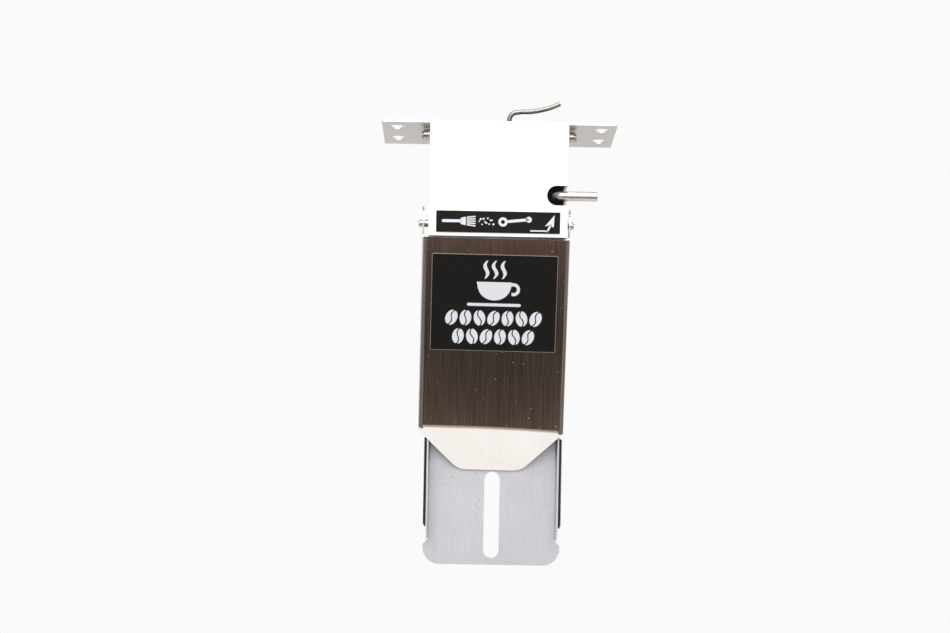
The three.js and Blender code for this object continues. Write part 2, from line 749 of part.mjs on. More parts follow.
const ringFrom = channelWebBack + restGap + waveWasherSpan + thrustWasherThick + 2 * turnPlay;
const shaftEnd = ringFrom + ringThick + shaftTail;
const clampX = leverX - hubReach * Math.cos(hubSlant);
const clampZ = leverZ - hubReach * Math.sin(hubSlant);
const wireDepth = hubFront + hubLength / 2;

function cleaningLever() {
  const handle = new THREE.CurvePath();
  const tipEnd = new THREE.Vector3(leverTip, leverDepth, leverZ);
  const bendFrom = new THREE.Vector3(leverX + leverBend, leverDepth, leverZ);
  const bendTo = new THREE.Vector3(leverX, leverDepth + leverBend, leverZ);
  const shoulder = new THREE.Vector3(leverX, leverShoulder, leverZ);
  handle.add(new THREE.LineCurve3(tipEnd, bendFrom));
  handle.add(new QuarterBend(new THREE.Vector3(bendFrom.x, bendTo.y, leverZ), leverBend));
  handle.add(new THREE.LineCurve3(bendTo, shoulder));
  const rod = solid(new THREE.ExtrudeGeometry(circle(0, 0, leverRod / 2),
    { steps: 26, curveSegments: 8, extrudePath: handle }));
  const groove = solid(onShaft(ring(ringGroove, leverShaft, ringFrom - 0.1, ringFrom + ringThick + 0.1)));
  const pinHole = solid(ring(0, hubPin / 2 + turnPlay, leverZ - housingHalf, leverZ + housingHalf)
    .translate(leverX, wireDepth, 0));
  return rod
    .add(barY(leverX, leverZ, leverShaft / 2, leverShoulder - 1, shaftEnd))
    .subtract(groove)
    .subtract(pinHole);
}

// A quarter turn in a level plane, from facing -X to facing +Y
class QuarterBend extends THREE.Curve {
  constructor(centre, radius) {
    super();
    this.centre = centre;
    this.radius = radius;
  }

  getPoint(t, target = new THREE.Vector3()) {
    const angle = -Math.PI / 2 - (t * Math.PI) / 2;
    return target.set(Math.cos(angle), Math.sin(angle), 0).multiplyScalar(this.radius).add(this.centre);
  }
}

// The agitator wire runs from the hub's clamp up through the inlet, and over to the right in a gentle wave.
// Its bends are set out from the shaft.
const wireBends = [
  [-31.8, 51], [-29.8, 56.2], [-25.2, 57.7], [-17.1, 58.2], [-8.1, 59.9], [-2.1, 61.8], [2.7, 64],
].map(([x, z]) => [leverX + x, leverZ + z]);
const wireRun = new THREE.Vector2(wireBends[0][0] - clampX, wireBends[0][1] - clampZ);
const onWire = (share) => [clampX + share * wireRun.x, clampZ + share * wireRun.y];
const wirePath = [onWire(-0.12), onWire(0.15), onWire(0.6), onWire(0.9), ...wireBends];

function agitatorWire() {
  const line = new THREE.CatmullRomCurve3(
    wirePath.map(([x, z]) => new THREE.Vector3(x, wireDepth, z)), false, 'centripetal');
  return new THREE.ExtrudeGeometry(circle(0, 0, wireDiameter / 2),
    { steps: 48, curveSegments: 5, extrudePath: line });
}

function leverHub() {
  const towards = new THREE.Vector2(clampX - leverX, clampZ - leverZ).normalize();
  const start = Math.atan2(towards.y, towards.x) - Math.PI / 2;
  const outline = polygon([
    ...halfRound(clampX, clampZ, hubRadius, start),
    ...halfRound(leverX, leverZ, hubRadius, start + Math.PI),
  ]);
  const wire = new THREE.Vector3(wireRun.x, 0, wireRun.y).normalize();
  const turn = new THREE.Quaternion().setFromUnitVectors(new THREE.Vector3(0, 0, 1), wire);
  const wireHole = solid(ring(0, wireDiameter / 2 + 2 * turnPlay, -2 * hubReach, 2 * hubReach)
    .applyQuaternion(turn).translate(clampX, wireDepth, clampZ));
  const screwHoleInHub = solid(pointSide(ring(0, clampScrew / 2 + turnPlay, 0, 2 * hubReach), -1)
    .translate(clampX, wireDepth, clampZ));
  const pinHole = solid(ring(0, hubPin / 2 + turnPlay, -housingHalf, housingHalf)
    .translate(leverX, wireDepth, leverZ));
  return solid(alongY(outline, hubFront, hubFront + hubLength))
    .subtract(barY(leverX, leverZ, bore, 0, channelWebFace))
    .subtract(wireHole)
    .subtract(screwHoleInHub)
    .subtract(pinHole);
}

add('cleaning_lever', cleaningLever(), polishedSteel);
add('agitator_wire', agitatorWire(), polishedSteel);
add('lever_hub', leverHub(), zincSteel);
add('hub_pin',
  ring(0, hubPin / 2, -hubRadius + restGap, hubRadius - restGap).translate(leverX, wireDepth, leverZ), zincSteel);

// The clamp screw is level and the wire leans, so the screw's flat end stops clear of the wire's near side
function wireClampScrew() {
  const lean = Math.atan2(-wireRun.x, wireRun.y);
  const from = wireDiameter / 2 / Math.cos(lean) + (clampScrew / 2) * Math.tan(lean) + turnPlay;
  const to = hubRadius + 1;
  const socket = block(regular(6, clampScrew * 0.5), to - 1.6, to + 1, alongZ);
  const screw = solid(ring(0, clampScrew / 2, from, to)).subtract(socket);
  return pointSide(geometryOf(screw), -1).translate(clampX, wireDepth, clampZ);
}

add('wire_clamp_screw', wireClampScrew(), zincSteel);

// ---- behind the channel: wave washer, thrust washer and retaining ring, which give the lever its friction ----

function waveWasher() {
  const washer = turned([[bore, 0], [ringOuter, 0], [ringOuter, waveWasherThick], [bore, waveWasherThick]]);
  const at = washer.attributes.position;
  const rise = waveWasherSpan - waveWasherThick;
  for (let i = 0; i < at.count; i += 1) {
    const angle = Math.atan2(at.getY(i), at.getX(i));
    at.setZ(i, at.getZ(i) + (rise * (1 + Math.cos(3 * angle))) / 2);
  }
  return onShaft(washer).translate(0, channelWebBack + restGap, 0);
}

function retainingRing() {
  const body = solid(ring(ringGroove + 0.1, ringOuter, ringFrom, ringFrom + ringThick));
  const mouth = block(polygon([[-1.6, 0], [1.6, 0], [1.6, -ringOuter - 1], [-1.6, -ringOuter - 1]]),
    0, housingWidth, alongZ);
  return onShaft(geometryOf(body.subtract(mouth)));
}

const thrustFrom = channelWebBack + restGap + waveWasherSpan + turnPlay;
add('wave_washer', waveWasher(), zincSteel);
add('thrust_washer', onShaft(ring(bore, ringOuter, thrustFrom, thrustFrom + thrustWasherThick)), zincSteel);
add('retaining_ring', retainingRing(), zincSteel);

export default chute;
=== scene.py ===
import json
import math

import bmesh
import bpy
from mathutils import Matrix, Vector


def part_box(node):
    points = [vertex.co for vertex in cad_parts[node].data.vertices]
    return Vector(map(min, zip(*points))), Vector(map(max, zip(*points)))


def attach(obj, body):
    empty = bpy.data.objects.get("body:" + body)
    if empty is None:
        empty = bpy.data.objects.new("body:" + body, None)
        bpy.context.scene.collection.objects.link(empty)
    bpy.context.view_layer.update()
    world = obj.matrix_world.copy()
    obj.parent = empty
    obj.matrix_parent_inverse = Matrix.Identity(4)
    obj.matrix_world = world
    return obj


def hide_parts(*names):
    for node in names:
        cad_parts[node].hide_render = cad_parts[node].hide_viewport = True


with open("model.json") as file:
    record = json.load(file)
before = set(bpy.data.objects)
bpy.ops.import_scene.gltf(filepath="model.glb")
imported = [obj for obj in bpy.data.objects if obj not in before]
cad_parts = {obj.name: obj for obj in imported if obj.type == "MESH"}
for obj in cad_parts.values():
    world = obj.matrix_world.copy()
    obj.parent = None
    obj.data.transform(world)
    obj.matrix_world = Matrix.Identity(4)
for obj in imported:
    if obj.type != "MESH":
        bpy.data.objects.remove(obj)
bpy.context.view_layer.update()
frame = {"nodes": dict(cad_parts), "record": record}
MM = 0.001

# ---- places taken from the frame ----

housing_low, housing_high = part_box("housing")
channel_low, channel_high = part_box("channel")
plate_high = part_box("mounting_plate")[1]
joints = {joint["name"]: joint for joint in frame["record"]["behaviour"]["joints"]}
lever_axis = Vector(joints["lever_turn"]["pos_m"])
cover_hinge = Vector(joints["cover_swing"]["pos_m"])
face_y = housing_low.y  # the housing's front face
top_z = housing_high.z  # and its top edge
web_front = channel_high.y - 1 * MM  # the channel's sheet is 1 mm thick
cover_length = 128.8  # the cover's front, from its top edge to its bend
cover_lean = math.asin(22.4 / cover_length)  # its bend lies 22.4 mm deeper than its top edge
cover_skew = math.radians(0.45)  # it hangs a little askew


def at(x, y, z):
    """A place in millimetres: x from the middle, y behind the housing's face, z from its top edge."""
    return Vector((x * MM, face_y + y * MM, top_z + z * MM))


# ---- colour and node helpers ----


def linear(hex_colour, strength=1.0):
    """An sRGB hex colour as linear red, green, blue and alpha."""
    values = [int(hex_colour[i:i + 2], 16) / 255 for i in (1, 3, 5)]
    straight = [v / 12.92 if v <= 0.04045 else ((v + 0.055) / 1.055) ** 2.4 for v in values]
    return (*[v * strength for v in straight], 1.0)


def node(tree, kind, settings=None, **links):
    """Adds a node. settings are its own properties, and links are sockets by name: a value or an output."""
    made = tree.nodes.new(kind)
    for name, value in (settings or {}).items():
        setattr(made, name, value)
    for name, value in links.items():
        socket = made.inputs[int(name[1:])] if name[0] == "i" and name[1:].isdigit() else made.inputs[
            name.replace("_", " ")]
        if isinstance(value, bpy.types.NodeSocket):
            tree.links.new(value, socket)
        else:
            socket.default_value = value
    return made


def new_material(name):
    made = bpy.data.materials.new(name)
    made.use_nodes = True
    tree = made.node_tree
    shader = tree.nodes["Principled BSDF"]
    return made, tree, shader


# ---- finishes ----


def surface_place(tree, scale=(1, 1, 1)):
    """Object coordinates in metres, stretched by scale."""
    place = node(tree, "ShaderNodeTexCoord")
    return node(tree, "ShaderNodeMapping", Vector=place.outputs["Object"], Scale=scale).outputs["Vector"]


def scratches(tree, turn, long_mm, wide_mm, least):
    """Where short straight scratches lie, 0 to 1: a noise drawn out along one slanting line."""
    place = node(tree, "ShaderNodeTexCoord").outputs["Object"]
    slant = node(tree, "ShaderNodeMapping", {"vector_type": "TEXTURE"}, Vector=place,
                 Rotation=(0, turn, 0), Scale=(wide_mm * MM, long_mm * MM, long_mm * MM))
    lines = node(tree, "ShaderNodeTexNoise", Vector=slant.outputs["Vector"], Scale=1.0, Detail=0.0)
    return node(tree, "ShaderNodeMapRange", Value=lines.outputs["Fac"], From_Min=least,
                From_Max=least + 0.04).outputs["Result"]


def specks(tree, size_mm, least):
    """Where specks of dust or small pits lie, 0 to 1."""
    dots = node(tree, "ShaderNodeTexNoise", Vector=surface_place(tree), Scale=1 / (size_mm * MM), Detail=0.0)
    return node(tree, "ShaderNodeMapRange", Value=dots.outputs["Fac"], From_Min=least,
                From_Max=least + 0.03).outputs["Result"]


def roughen(tree, shader, rough, relief, strength, depth_mm):
    """Gives the shader its roughness, and a fine relief from a noise."""
    tree.links.new(rough.outputs["Result"], shader.inputs["Roughness"])
    bump = node(tree, "ShaderNodeBump", Strength=strength, Distance=depth_mm * MM,
                Height=relief.outputs["Fac"])
    tree.links.new(bump.outputs["Normal"], shader.inputs["Normal"])


def brushed_stainless():
    """Stainless steel brushed lengthwise: hair-fine upright lines that stretch what it mirrors sideways.

    The real lines are about 0.1 mm apart; they are drawn 0.7 mm apart so that they show.
    """
    made, tree, shader = new_material("brushed_stainless_steel")
    shader.inputs["Anisotropic"].default_value = 0.3
    place = node(tree, "ShaderNodeTexCoord").outputs["Object"]
    along = node(tree, "ShaderNodeMapping", {"vector_type": "TEXTURE"}, Vector=place,
                 Rotation=(cover_lean, 0, 0), Scale=(0.7 * MM, 0.7 * MM, 40 * MM))
    lines = node(tree, "ShaderNodeTexNoise", Vector=along.outputs["Vector"], Scale=1.0, Detail=2.0,
                 Roughness=0.55)
    wide = node(tree, "ShaderNodeMapping", {"vector_type": "TEXTURE"}, Vector=place,
                Rotation=(cover_lean, 0, 0), Scale=(22 * MM, 22 * MM, 90 * MM))
    bands = node(tree, "ShaderNodeTexNoise", Vector=wide.outputs["Vector"], Scale=1.0, Detail=1.0)
    both = node(tree, "ShaderNodeMix", {"data_type": "FLOAT"}, Factor=0.25, i2=lines.outputs["Fac"],
                i3=bands.outputs["Fac"])
    tone = node(tree, "ShaderNodeValToRGB", Fac=both.outputs[0])
    tone.color_ramp.elements[0].position = 0.3
    tone.color_ramp.elements[0].color = linear("#d3cfcb")
    tone.color_ramp.elements[1].position = 0.7
    tone.color_ramp.elements[1].color = linear("#e6e3e0")
    dust = node(tree, "ShaderNodeMath", {"operation": "MAXIMUM"}, i0=specks(tree, 1.1, 0.84),
                i1=scratches(tree, 0.9, 6, 0.5, 0.86))
    clean = node(tree, "ShaderNodeMath", {"operation": "MULTIPLY_ADD"}, i0=dust.outputs["Value"], i1=-0.45,
                 i2=1.0)
    tree.links.new(clean.outputs["Value"], shader.inputs["Metallic"])
    tree.links.new(tone.outputs["Color"], shader.inputs["Base Color"])
    rough = node(tree, "ShaderNodeMapRange", Value=lines.outputs["Fac"], To_Min=0.1, To_Max=0.19)
    roughen(tree, shader, rough, lines, 0.12, 0.01)
    return made


def powder_coat():
    """White powder coat baked on folded sheet: even and satin, with the faint pebbling of cured powder."""
    made, tree, shader = new_material("white_powder_coat")
    shader.inputs["IOR"].default_value = 1.5
    pebble = node(tree, "ShaderNodeTexNoise", Vector=surface_place(tree), Scale=1 / (0.7 * MM), Detail=2.0)
    cloud = node(tree, "ShaderNodeTexNoise", Vector=surface_place(tree), Scale=1 / (28 * MM), Detail=2.0)
    tone = node(tree, "ShaderNodeMix", {"data_type": "RGBA"}, Factor=cloud.outputs["Fac"],
                i6=linear("#f4f4f2"), i7=linear("#fbfbfa"))
    tree.links.new(tone.outputs[2], shader.inputs["Base Color"])
    rough = node(tree, "ShaderNodeMapRange", Value=pebble.outputs["Fac"], To_Min=0.34, To_Max=0.5)
    roughen(tree, shader, rough, pebble, 0.12, 0.03)
    return made


def rolled_aluminium(name, dark, light, roughness, marks):
    """Mill-finish aluminium sheet: a fine lengthwise grain from the rolls, with handling marks."""
    made, tree, shader = new_material(name)
    shader.inputs["Metallic"].default_value = 0.8
    grain = node(tree, "ShaderNodeTexNoise",
                 Vector=surface_place(tree, (1 / (0.5 * MM), 1 / (0.5 * MM), 1 / (18 * MM))),
                 Scale=1.0, Detail=3.0, Roughness=0.65)
    cloud = node(tree, "ShaderNodeTexNoise", Vector=surface_place(tree), Scale=1 / (30 * MM), Detail=3.0)
    tone = node(tree, "ShaderNodeMix", {"data_type": "RGBA"}, Factor=cloud.outputs["Fac"],
                i6=linear(dark), i7=linear(light))
    streak = node(tree, "ShaderNodeMapRange", Value=grain.outputs["Fac"], From_Min=0.3, From_Max=0.7,
                  To_Min=0.9, To_Max=1.04)
    toned = node(tree, "ShaderNodeMix", {"data_type": "RGBA", "blend_type": "MULTIPLY"}, Factor=1.0,
                 i6=tone.outputs[2], i7=streak.outputs["Result"])
    scratch = node(tree, "ShaderNodeMath", {"operation": "MAXIMUM"}, i0=scratches(tree, -0.6, 9, 0.5, 0.83),
                   i1=scratches(tree, 0.5, 6, 0.5, 0.85))
    scored = node(tree, "ShaderNodeMix", {"data_type": "RGBA"}, Factor=scratch.outputs["Value"],
                  i6=toned.outputs[2], i7=linear("#f6f6f8"))
    pitted = node(tree, "ShaderNodeMix", {"data_type": "RGBA"}, Factor=specks(tree, 1.3, 0.84),
                  i6=scored.outputs[2], i7=linear("#8d8b8c"))
    tree.links.new(pitted.outputs[2], shader.inputs["Base Color"])
    rough = node(tree, "ShaderNodeMapRange", Value=grain.outputs["Fac"], To_Min=roughness - 0.06,
                 To_Max=roughness + 0.08)
    roughen(tree, shader, rough, grain, marks, 0.02)
    return made


def polished_rod(name, tint, low, high):
    """Drawn and polished steel: a clear mirror with soft draw lines and a few dull patches."""
    made, tree, shader = new_material(name)
    shader.inputs["Metallic"].default_value = 1.0
    shader.inputs["Base Color"].default_value = linear(tint)
    wear = node(tree, "ShaderNodeTexNoise", Vector=surface_place(tree), Scale=1 / (2.4 * MM), Detail=4.0,
                Roughness=0.6)
    rough = node(tree, "ShaderNodeMapRange", Value=wear.outputs["Fac"], From_Min=0.35, From_Max=0.7,
                 To_Min=low, To_Max=high)
    roughen(tree, shader, rough, wear, 0.06, 0.01)
    return made


def matt_surface(name, dark, light, roughness, grain_mm, gloss=0.5):
    """A dull surface with a fine tooth, clouded between two near tones: rubber, printing, film, or coffee
    dust with painted shade.
    """
    made, tree, shader = new_material(name)
    shader.inputs["Specular IOR Level"].default_value = gloss
    grain = node(tree, "ShaderNodeTexNoise", Vector=surface_place(tree), Scale=1 / (grain_mm * MM),
                 Detail=4.0)
    tone = node(tree, "ShaderNodeMix", {"data_type": "RGBA"}, Factor=grain.outputs["Fac"],
                i6=linear(dark), i7=linear(light))
    tree.links.new(tone.outputs[2], shader.inputs["Base Color"])
    rough = node(tree, "ShaderNodeMapRange", Value=grain.outputs["Fac"], To_Min=roughness - 0.08,
                 To_Max=roughness + 0.08)
    roughen(tree, shader, rough, grain, 0.2, 0.05)
    return made


finish = {
    "white_paint": powder_coat(),
    "plate_aluminium": rolled_aluminium("mill_aluminium_plate", "#c6c3bf", "#d6d3d0", 0.42, 0.15),
    "channel_aluminium": rolled_aluminium("mill_aluminium_channel", "#ced0d5", "#d8dadf", 0.42, 0.12),
    "brushed_steel": brushed_stainless(),
    "polished_steel": polished_rod("polished_steel", "#c6c3c0", 0.17, 0.25),
    "zinc_steel": polished_rod("bright_zinc_plate", "#c4c3bf", 0.22, 0.42),
    "black_rubber": matt_surface("black_rubber", "#161514", "#2a2928", 0.8, 0.8, 0.25),
    "black_label": matt_surface("black_printed_film", "#100f0e", "#191716", 0.55, 1.2, 0.1),
    # oiled bronze's brown, made darker as painted shade of the notch the bushing sits in
    "bronze": polished_rod("oiled_sintered_bronze_with_painted_shade", "#5b4932", 0.5, 0.65),
    "black_steel": matt_surface("blackened_steel", "#232221", "#33312f", 0.55, 0.6),
}

lever_steel = polished_rod("drawn_lever_steel", "#c2bfbc", 0.26, 0.4)
wire_steel = polished_rod("drawn_wire_steel", "#7d7975", 0.24, 0.36)
screw_steel = polished_rod("worn_screw_steel", "#b3ada7", 0.14, 0.26)
# coffee dust and painted shade: a dark dull brown that stands in for the shade under the cover and its lip
dust_and_painted_shade_steel = matt_surface("coffee_dust_and_painted_shade_steel", "#3a3029", "#6d6056", 0.6, 3.0, 0.4)
bare_film = matt_surface("bare_label_film", "#8a8681", "#9c9893", 0.5, 1.2)
label_white = matt_surface("white_printing", "#c4c7ce", "#cfd2d8", 0.5, 1.0, 0.3)

slot_of = {part["node"]: part["material_slot"] for part in frame["record"]["subparts"]}
for name, piece in frame["nodes"].items():
    piece.data.materials.clear()
    piece.data.materials.append(bare_film if slot_of[name] == "black_label" else finish[slot_of[name]])

# ---- modelling helpers ----


def deselect():
    if bpy.context.mode != "OBJECT":
        bpy.ops.object.mode_set(mode="OBJECT")
    bpy.ops.object.select_all(action="DESELECT")


def work_on(piece):
    deselect()
    bpy.context.view_layer.objects.active = piece
    piece.select_set(True)


def settle(piece):
    """Puts a piece's place, turn and scale into its mesh."""
    work_on(piece)
    bpy.ops.object.transform_apply(location=True, rotation=True, scale=True)


def block(name, low, high):
    """Starts a piece as a box between two corners."""
    deselect()
    bpy.ops.mesh.primitive_cube_add(size=1, location=(low + high) / 2, scale=high - low)
    piece = bpy.context.object
    piece.name = name
    settle(piece)
    return piece


def rod(name, start, end, radius, sides=32):
    """Starts a piece as a round bar from start to end."""
    deselect()
    run = end - start
    bpy.ops.mesh.primitive_cylinder_add(vertices=sides, radius=radius, depth=run.length,
                                        location=(start + end) / 2,
                                        rotation=run.to_track_quat("Z", "Y").to_euler())
    piece = bpy.context.object
    piece.name = name
    settle(piece)
    return piece


def pick(piece, kind, wanted):
    """In edit mode, selects each vertex, edge or face for which wanted(its middle, itself) is true."""
    if bpy.context.mode != "EDIT_MESH":
        work_on(piece)
        bpy.ops.object.mode_set(mode="EDIT")
    bpy.ops.mesh.select_mode(type=kind)
    bpy.ops.mesh.select_all(action="DESELECT")
    mesh = bmesh.from_edit_mesh(piece.data)
    for item in {"VERT": mesh.verts, "EDGE": mesh.edges, "FACE": mesh.faces}[kind]:
        corners = [item] if kind == "VERT" else list(item.verts)
        middle = sum((corner.co for corner in corners), Vector()) / len(corners)
        if wanted(middle, item):
            item.select_set(True)
    mesh.select_flush_mode()
    bmesh.update_edit_mesh(piece.data)


def draw_line(name, points):
    """Draws a chain of edges from point to point and leaves it open, in edit mode."""
    deselect()
    bpy.ops.mesh.primitive_plane_add(size=MM)
    piece = bpy.context.object
    piece.name = name
    bpy.ops.object.mode_set(mode="EDIT")
    bpy.ops.mesh.select_mode(type="VERT")
    bpy.ops.mesh.select_all(action="SELECT")
    bpy.ops.mesh.merge(type="CENTER")
    bpy.ops.transform.translate(value=points[0])
    for before, after in zip(points, points[1:]):
        bpy.ops.mesh.extrude_vertices_move(TRANSFORM_OT_translate={"value": after - before})
    return piece


def outline(name, corners, place, pull, steps=8):
    """A closed outline of corners (u, v, rounding), filled and pulled out along the vector pull."""
    points = [place(corner[0], corner[1]) for corner in corners]
    piece = draw_line(name, points)
    bpy.ops.mesh.select_all(action="SELECT")
    bpy.ops.mesh.edge_face_add()
    for i, corner in enumerate(corners):
        if len(corner) < 3:
            continue
        into = (points[i] - points[i - 1]).normalized()
        out = (points[(i + 1) % len(points)] - points[i]).normalized()
        reach = corner[2] * MM * math.tan(into.angle(out) / 2)
        pick(piece, "VERT", lambda middle, _: (middle - points[i]).length < 1e-3 * MM)
        bpy.ops.mesh.bevel(affect="VERTICES", offset=reach, segments=steps, profile=0.5)
    bpy.ops.mesh.select_mode(type="FACE")
    bpy.ops.mesh.select_all(action="SELECT")
    bpy.ops.mesh.extrude_region_move(TRANSFORM_OT_translate={"value": pull})
    bpy.ops.mesh.select_all(action="SELECT")
    bpy.ops.mesh.normals_make_consistent(inside=False)
    bpy.ops.object.mode_set(mode="OBJECT")
    return piece


def lathe(name, profile, foot, axis, steps=32):
    """Turns a profile of (radius, height) about an axis that starts at foot."""
    side = axis.orthogonal().normalized()
    piece = draw_line(name, [foot + side * r * MM + axis * h * MM for r, h in profile])
    bpy.ops.mesh.select_all(action="SELECT")
    bpy.ops.mesh.spin(steps=steps, angle=2 * math.pi, center=foot, axis=axis)
    bpy.ops.mesh.select_all(action="SELECT")
    bpy.ops.mesh.remove_doubles(threshold=0.002 * MM)
    bpy.ops.mesh.normals_make_consistent(inside=False)
    bpy.ops.object.mode_set(mode="OBJECT")
    return piece


def combine(piece, tool, operation="DIFFERENCE"):
    """Cuts the tool from the piece, or keeps or joins it, and puts the tool away."""
    work_on(piece)
    change = piece.modifiers.new("cut", "BOOLEAN")
    change.object = tool
    change.operation = operation
    change.solver = "EXACT"
    bpy.ops.object.modifier_apply(modifier="cut")
    bpy.data.objects.remove(tool)


def thicken(piece, sheet):
    """Gives a folded surface the sheet's thickness, inwards."""
    work_on(piece)
    wall = piece.modifiers.new("sheet", "SOLIDIFY")
    wall.thickness = sheet * MM
    wall.offset = -1
    wall.use_even_offset = True
    bpy.ops.object.modifier_apply(modifier="sheet")


def complete(piece, body, slot, *nodes, edge, angle=32, paint=None):
    """Breaks the sharp edges, smooths the bends, and gives the piece its finish and its body."""
    work_on(piece)
    if edge:
        broken = piece.modifiers.new("edges", "BEVEL")
        broken.width = edge * MM
        broken.segments = 2
        broken.limit_method = "ANGLE"
        broken.angle_limit = math.radians(angle)
        bpy.ops.object.modifier_apply(modifier="edges")
    bpy.ops.object.shade_smooth_by_angle(angle=math.radians(angle))
    flats = piece.modifiers.new("flats", "WEIGHTED_NORMAL")
    flats.keep_sharp = True
    bpy.ops.object.modifier_apply(modifier="flats")
    piece.data.materials.clear()
    piece.data.materials.append(paint or finish[slot])
    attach(piece, body)
    if nodes:
        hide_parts(*nodes)
    deselect()


sides = {"left": -1, "right": 1}
X, Y, Z = Vector((1, 0, 0)), Vector((0, 1, 0)), Vector((0, 0, 1))

# ---- sizes that the sheet parts share, in millimetres ----

tilt = math.atan2(*frame["record"]["mounts"][0]["axis"][1:])  # the plate slopes down to the back
housing_half = housing_high.x / MM
housing_depth = (housing_high.y - housing_low.y) / MM
housing_drop = (housing_high.z - housing_low.z) / MM
lever_x = lever_axis.x / MM
lever_z = (lever_axis.z - top_z) / MM
hinge_y = (cover_hinge.y - face_y) / MM
hinge_z = (cover_hinge.z - top_z) / MM
cover_drop = housing_drop + 1.5  # the cover's top edge, below the housing's top edge
screw_y, screw_z = 16, -8.3
rivet_low, rivet_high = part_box("tab_rivet_left")
rivet_y = ((rivet_low.y + rivet_high.y) / 2 - face_y) / MM
rivet_z = ((rivet_low.z + rivet_high.z) / 2 - top_z) / MM
web_y = (web_front - face_y) / MM
channel_half = housing_half - 1.5
plate_setback = 2
plate_sheet = 1.5
screw_hole, hinge_hole, rivet_hole = 2.4, 2.0, 1.9  # radii
beyond = 120  # well past the object, for tools that cut right through


def plate_underside(y):
    """The height of the plate's lower face at a depth y."""
    return -(y - plate_setback) * math.tan(tilt) - plate_sheet / math.cos(tilt)


def cross_hole(piece, y, z, radius):
    """Drills through both sides of a piece."""
    combine(piece, rod("drill", at(-beyond, y, z), at(beyond, y, z), radius * MM))


def side_profile(name, corners):
    """A tool as wide as the object, with its outline in depth and height."""
    return outline(name, corners, lambda y, z: at(-beyond, y, z), 2 * beyond * MM * X)


def front_profile(name, corners, front, back):
    """A tool with its outline in width and height, from front to back."""
    return outline(name, corners, lambda x, z: at(x, front, z), (back - front) * MM * Y)


# ---- housing ----


def make_housing():
    sheet = 1.2
    corner = 2.4  # outside radius of the two front folds
    shell = block("housing_shell", housing_low, housing_high)
    pick(shell, "FACE", lambda _, face: abs(face.normal.z) > 0.9 or face.normal.y > 0.9)
    bpy.ops.mesh.delete(type="FACE")
    pick(shell, "EDGE", lambda middle, edge: abs(middle.z - (housing_low.z + housing_high.z) / 2) < MM
         and middle.y < housing_low.y + MM)
    bpy.ops.mesh.bevel(offset=corner * MM, segments=10, profile=0.5)
    thicken(shell, sheet)
    past = housing_depth + 2
    gap = 0.3  # under the plate
    combine(shell, side_profile("room_for_plate", [
        (sheet, plate_underside(sheet) - gap), (past, plate_underside(past) - gap), (past, 3), (sheet, 3)]))
    notch = 6.65  # half its height, and the radius of its round end
    notch_end = lever_x + 0.5 - notch
    notch_depth = 22
    combine(shell, front_profile("notch", [
        (housing_half + 5, lever_z + notch), (notch_end, lever_z + notch, notch - 0.02),
        (notch_end, lever_z - notch, notch - 0.02), (housing_half + 5, lever_z - notch)],
        -sheet, notch_depth))
    cross_hole(shell, screw_y, screw_z, screw_hole)
    cross_hole(shell, hinge_y, hinge_z, hinge_hole)
    complete(shell, "chute_frame", "white_paint", "housing", edge=0.2)


# ---- channel ----


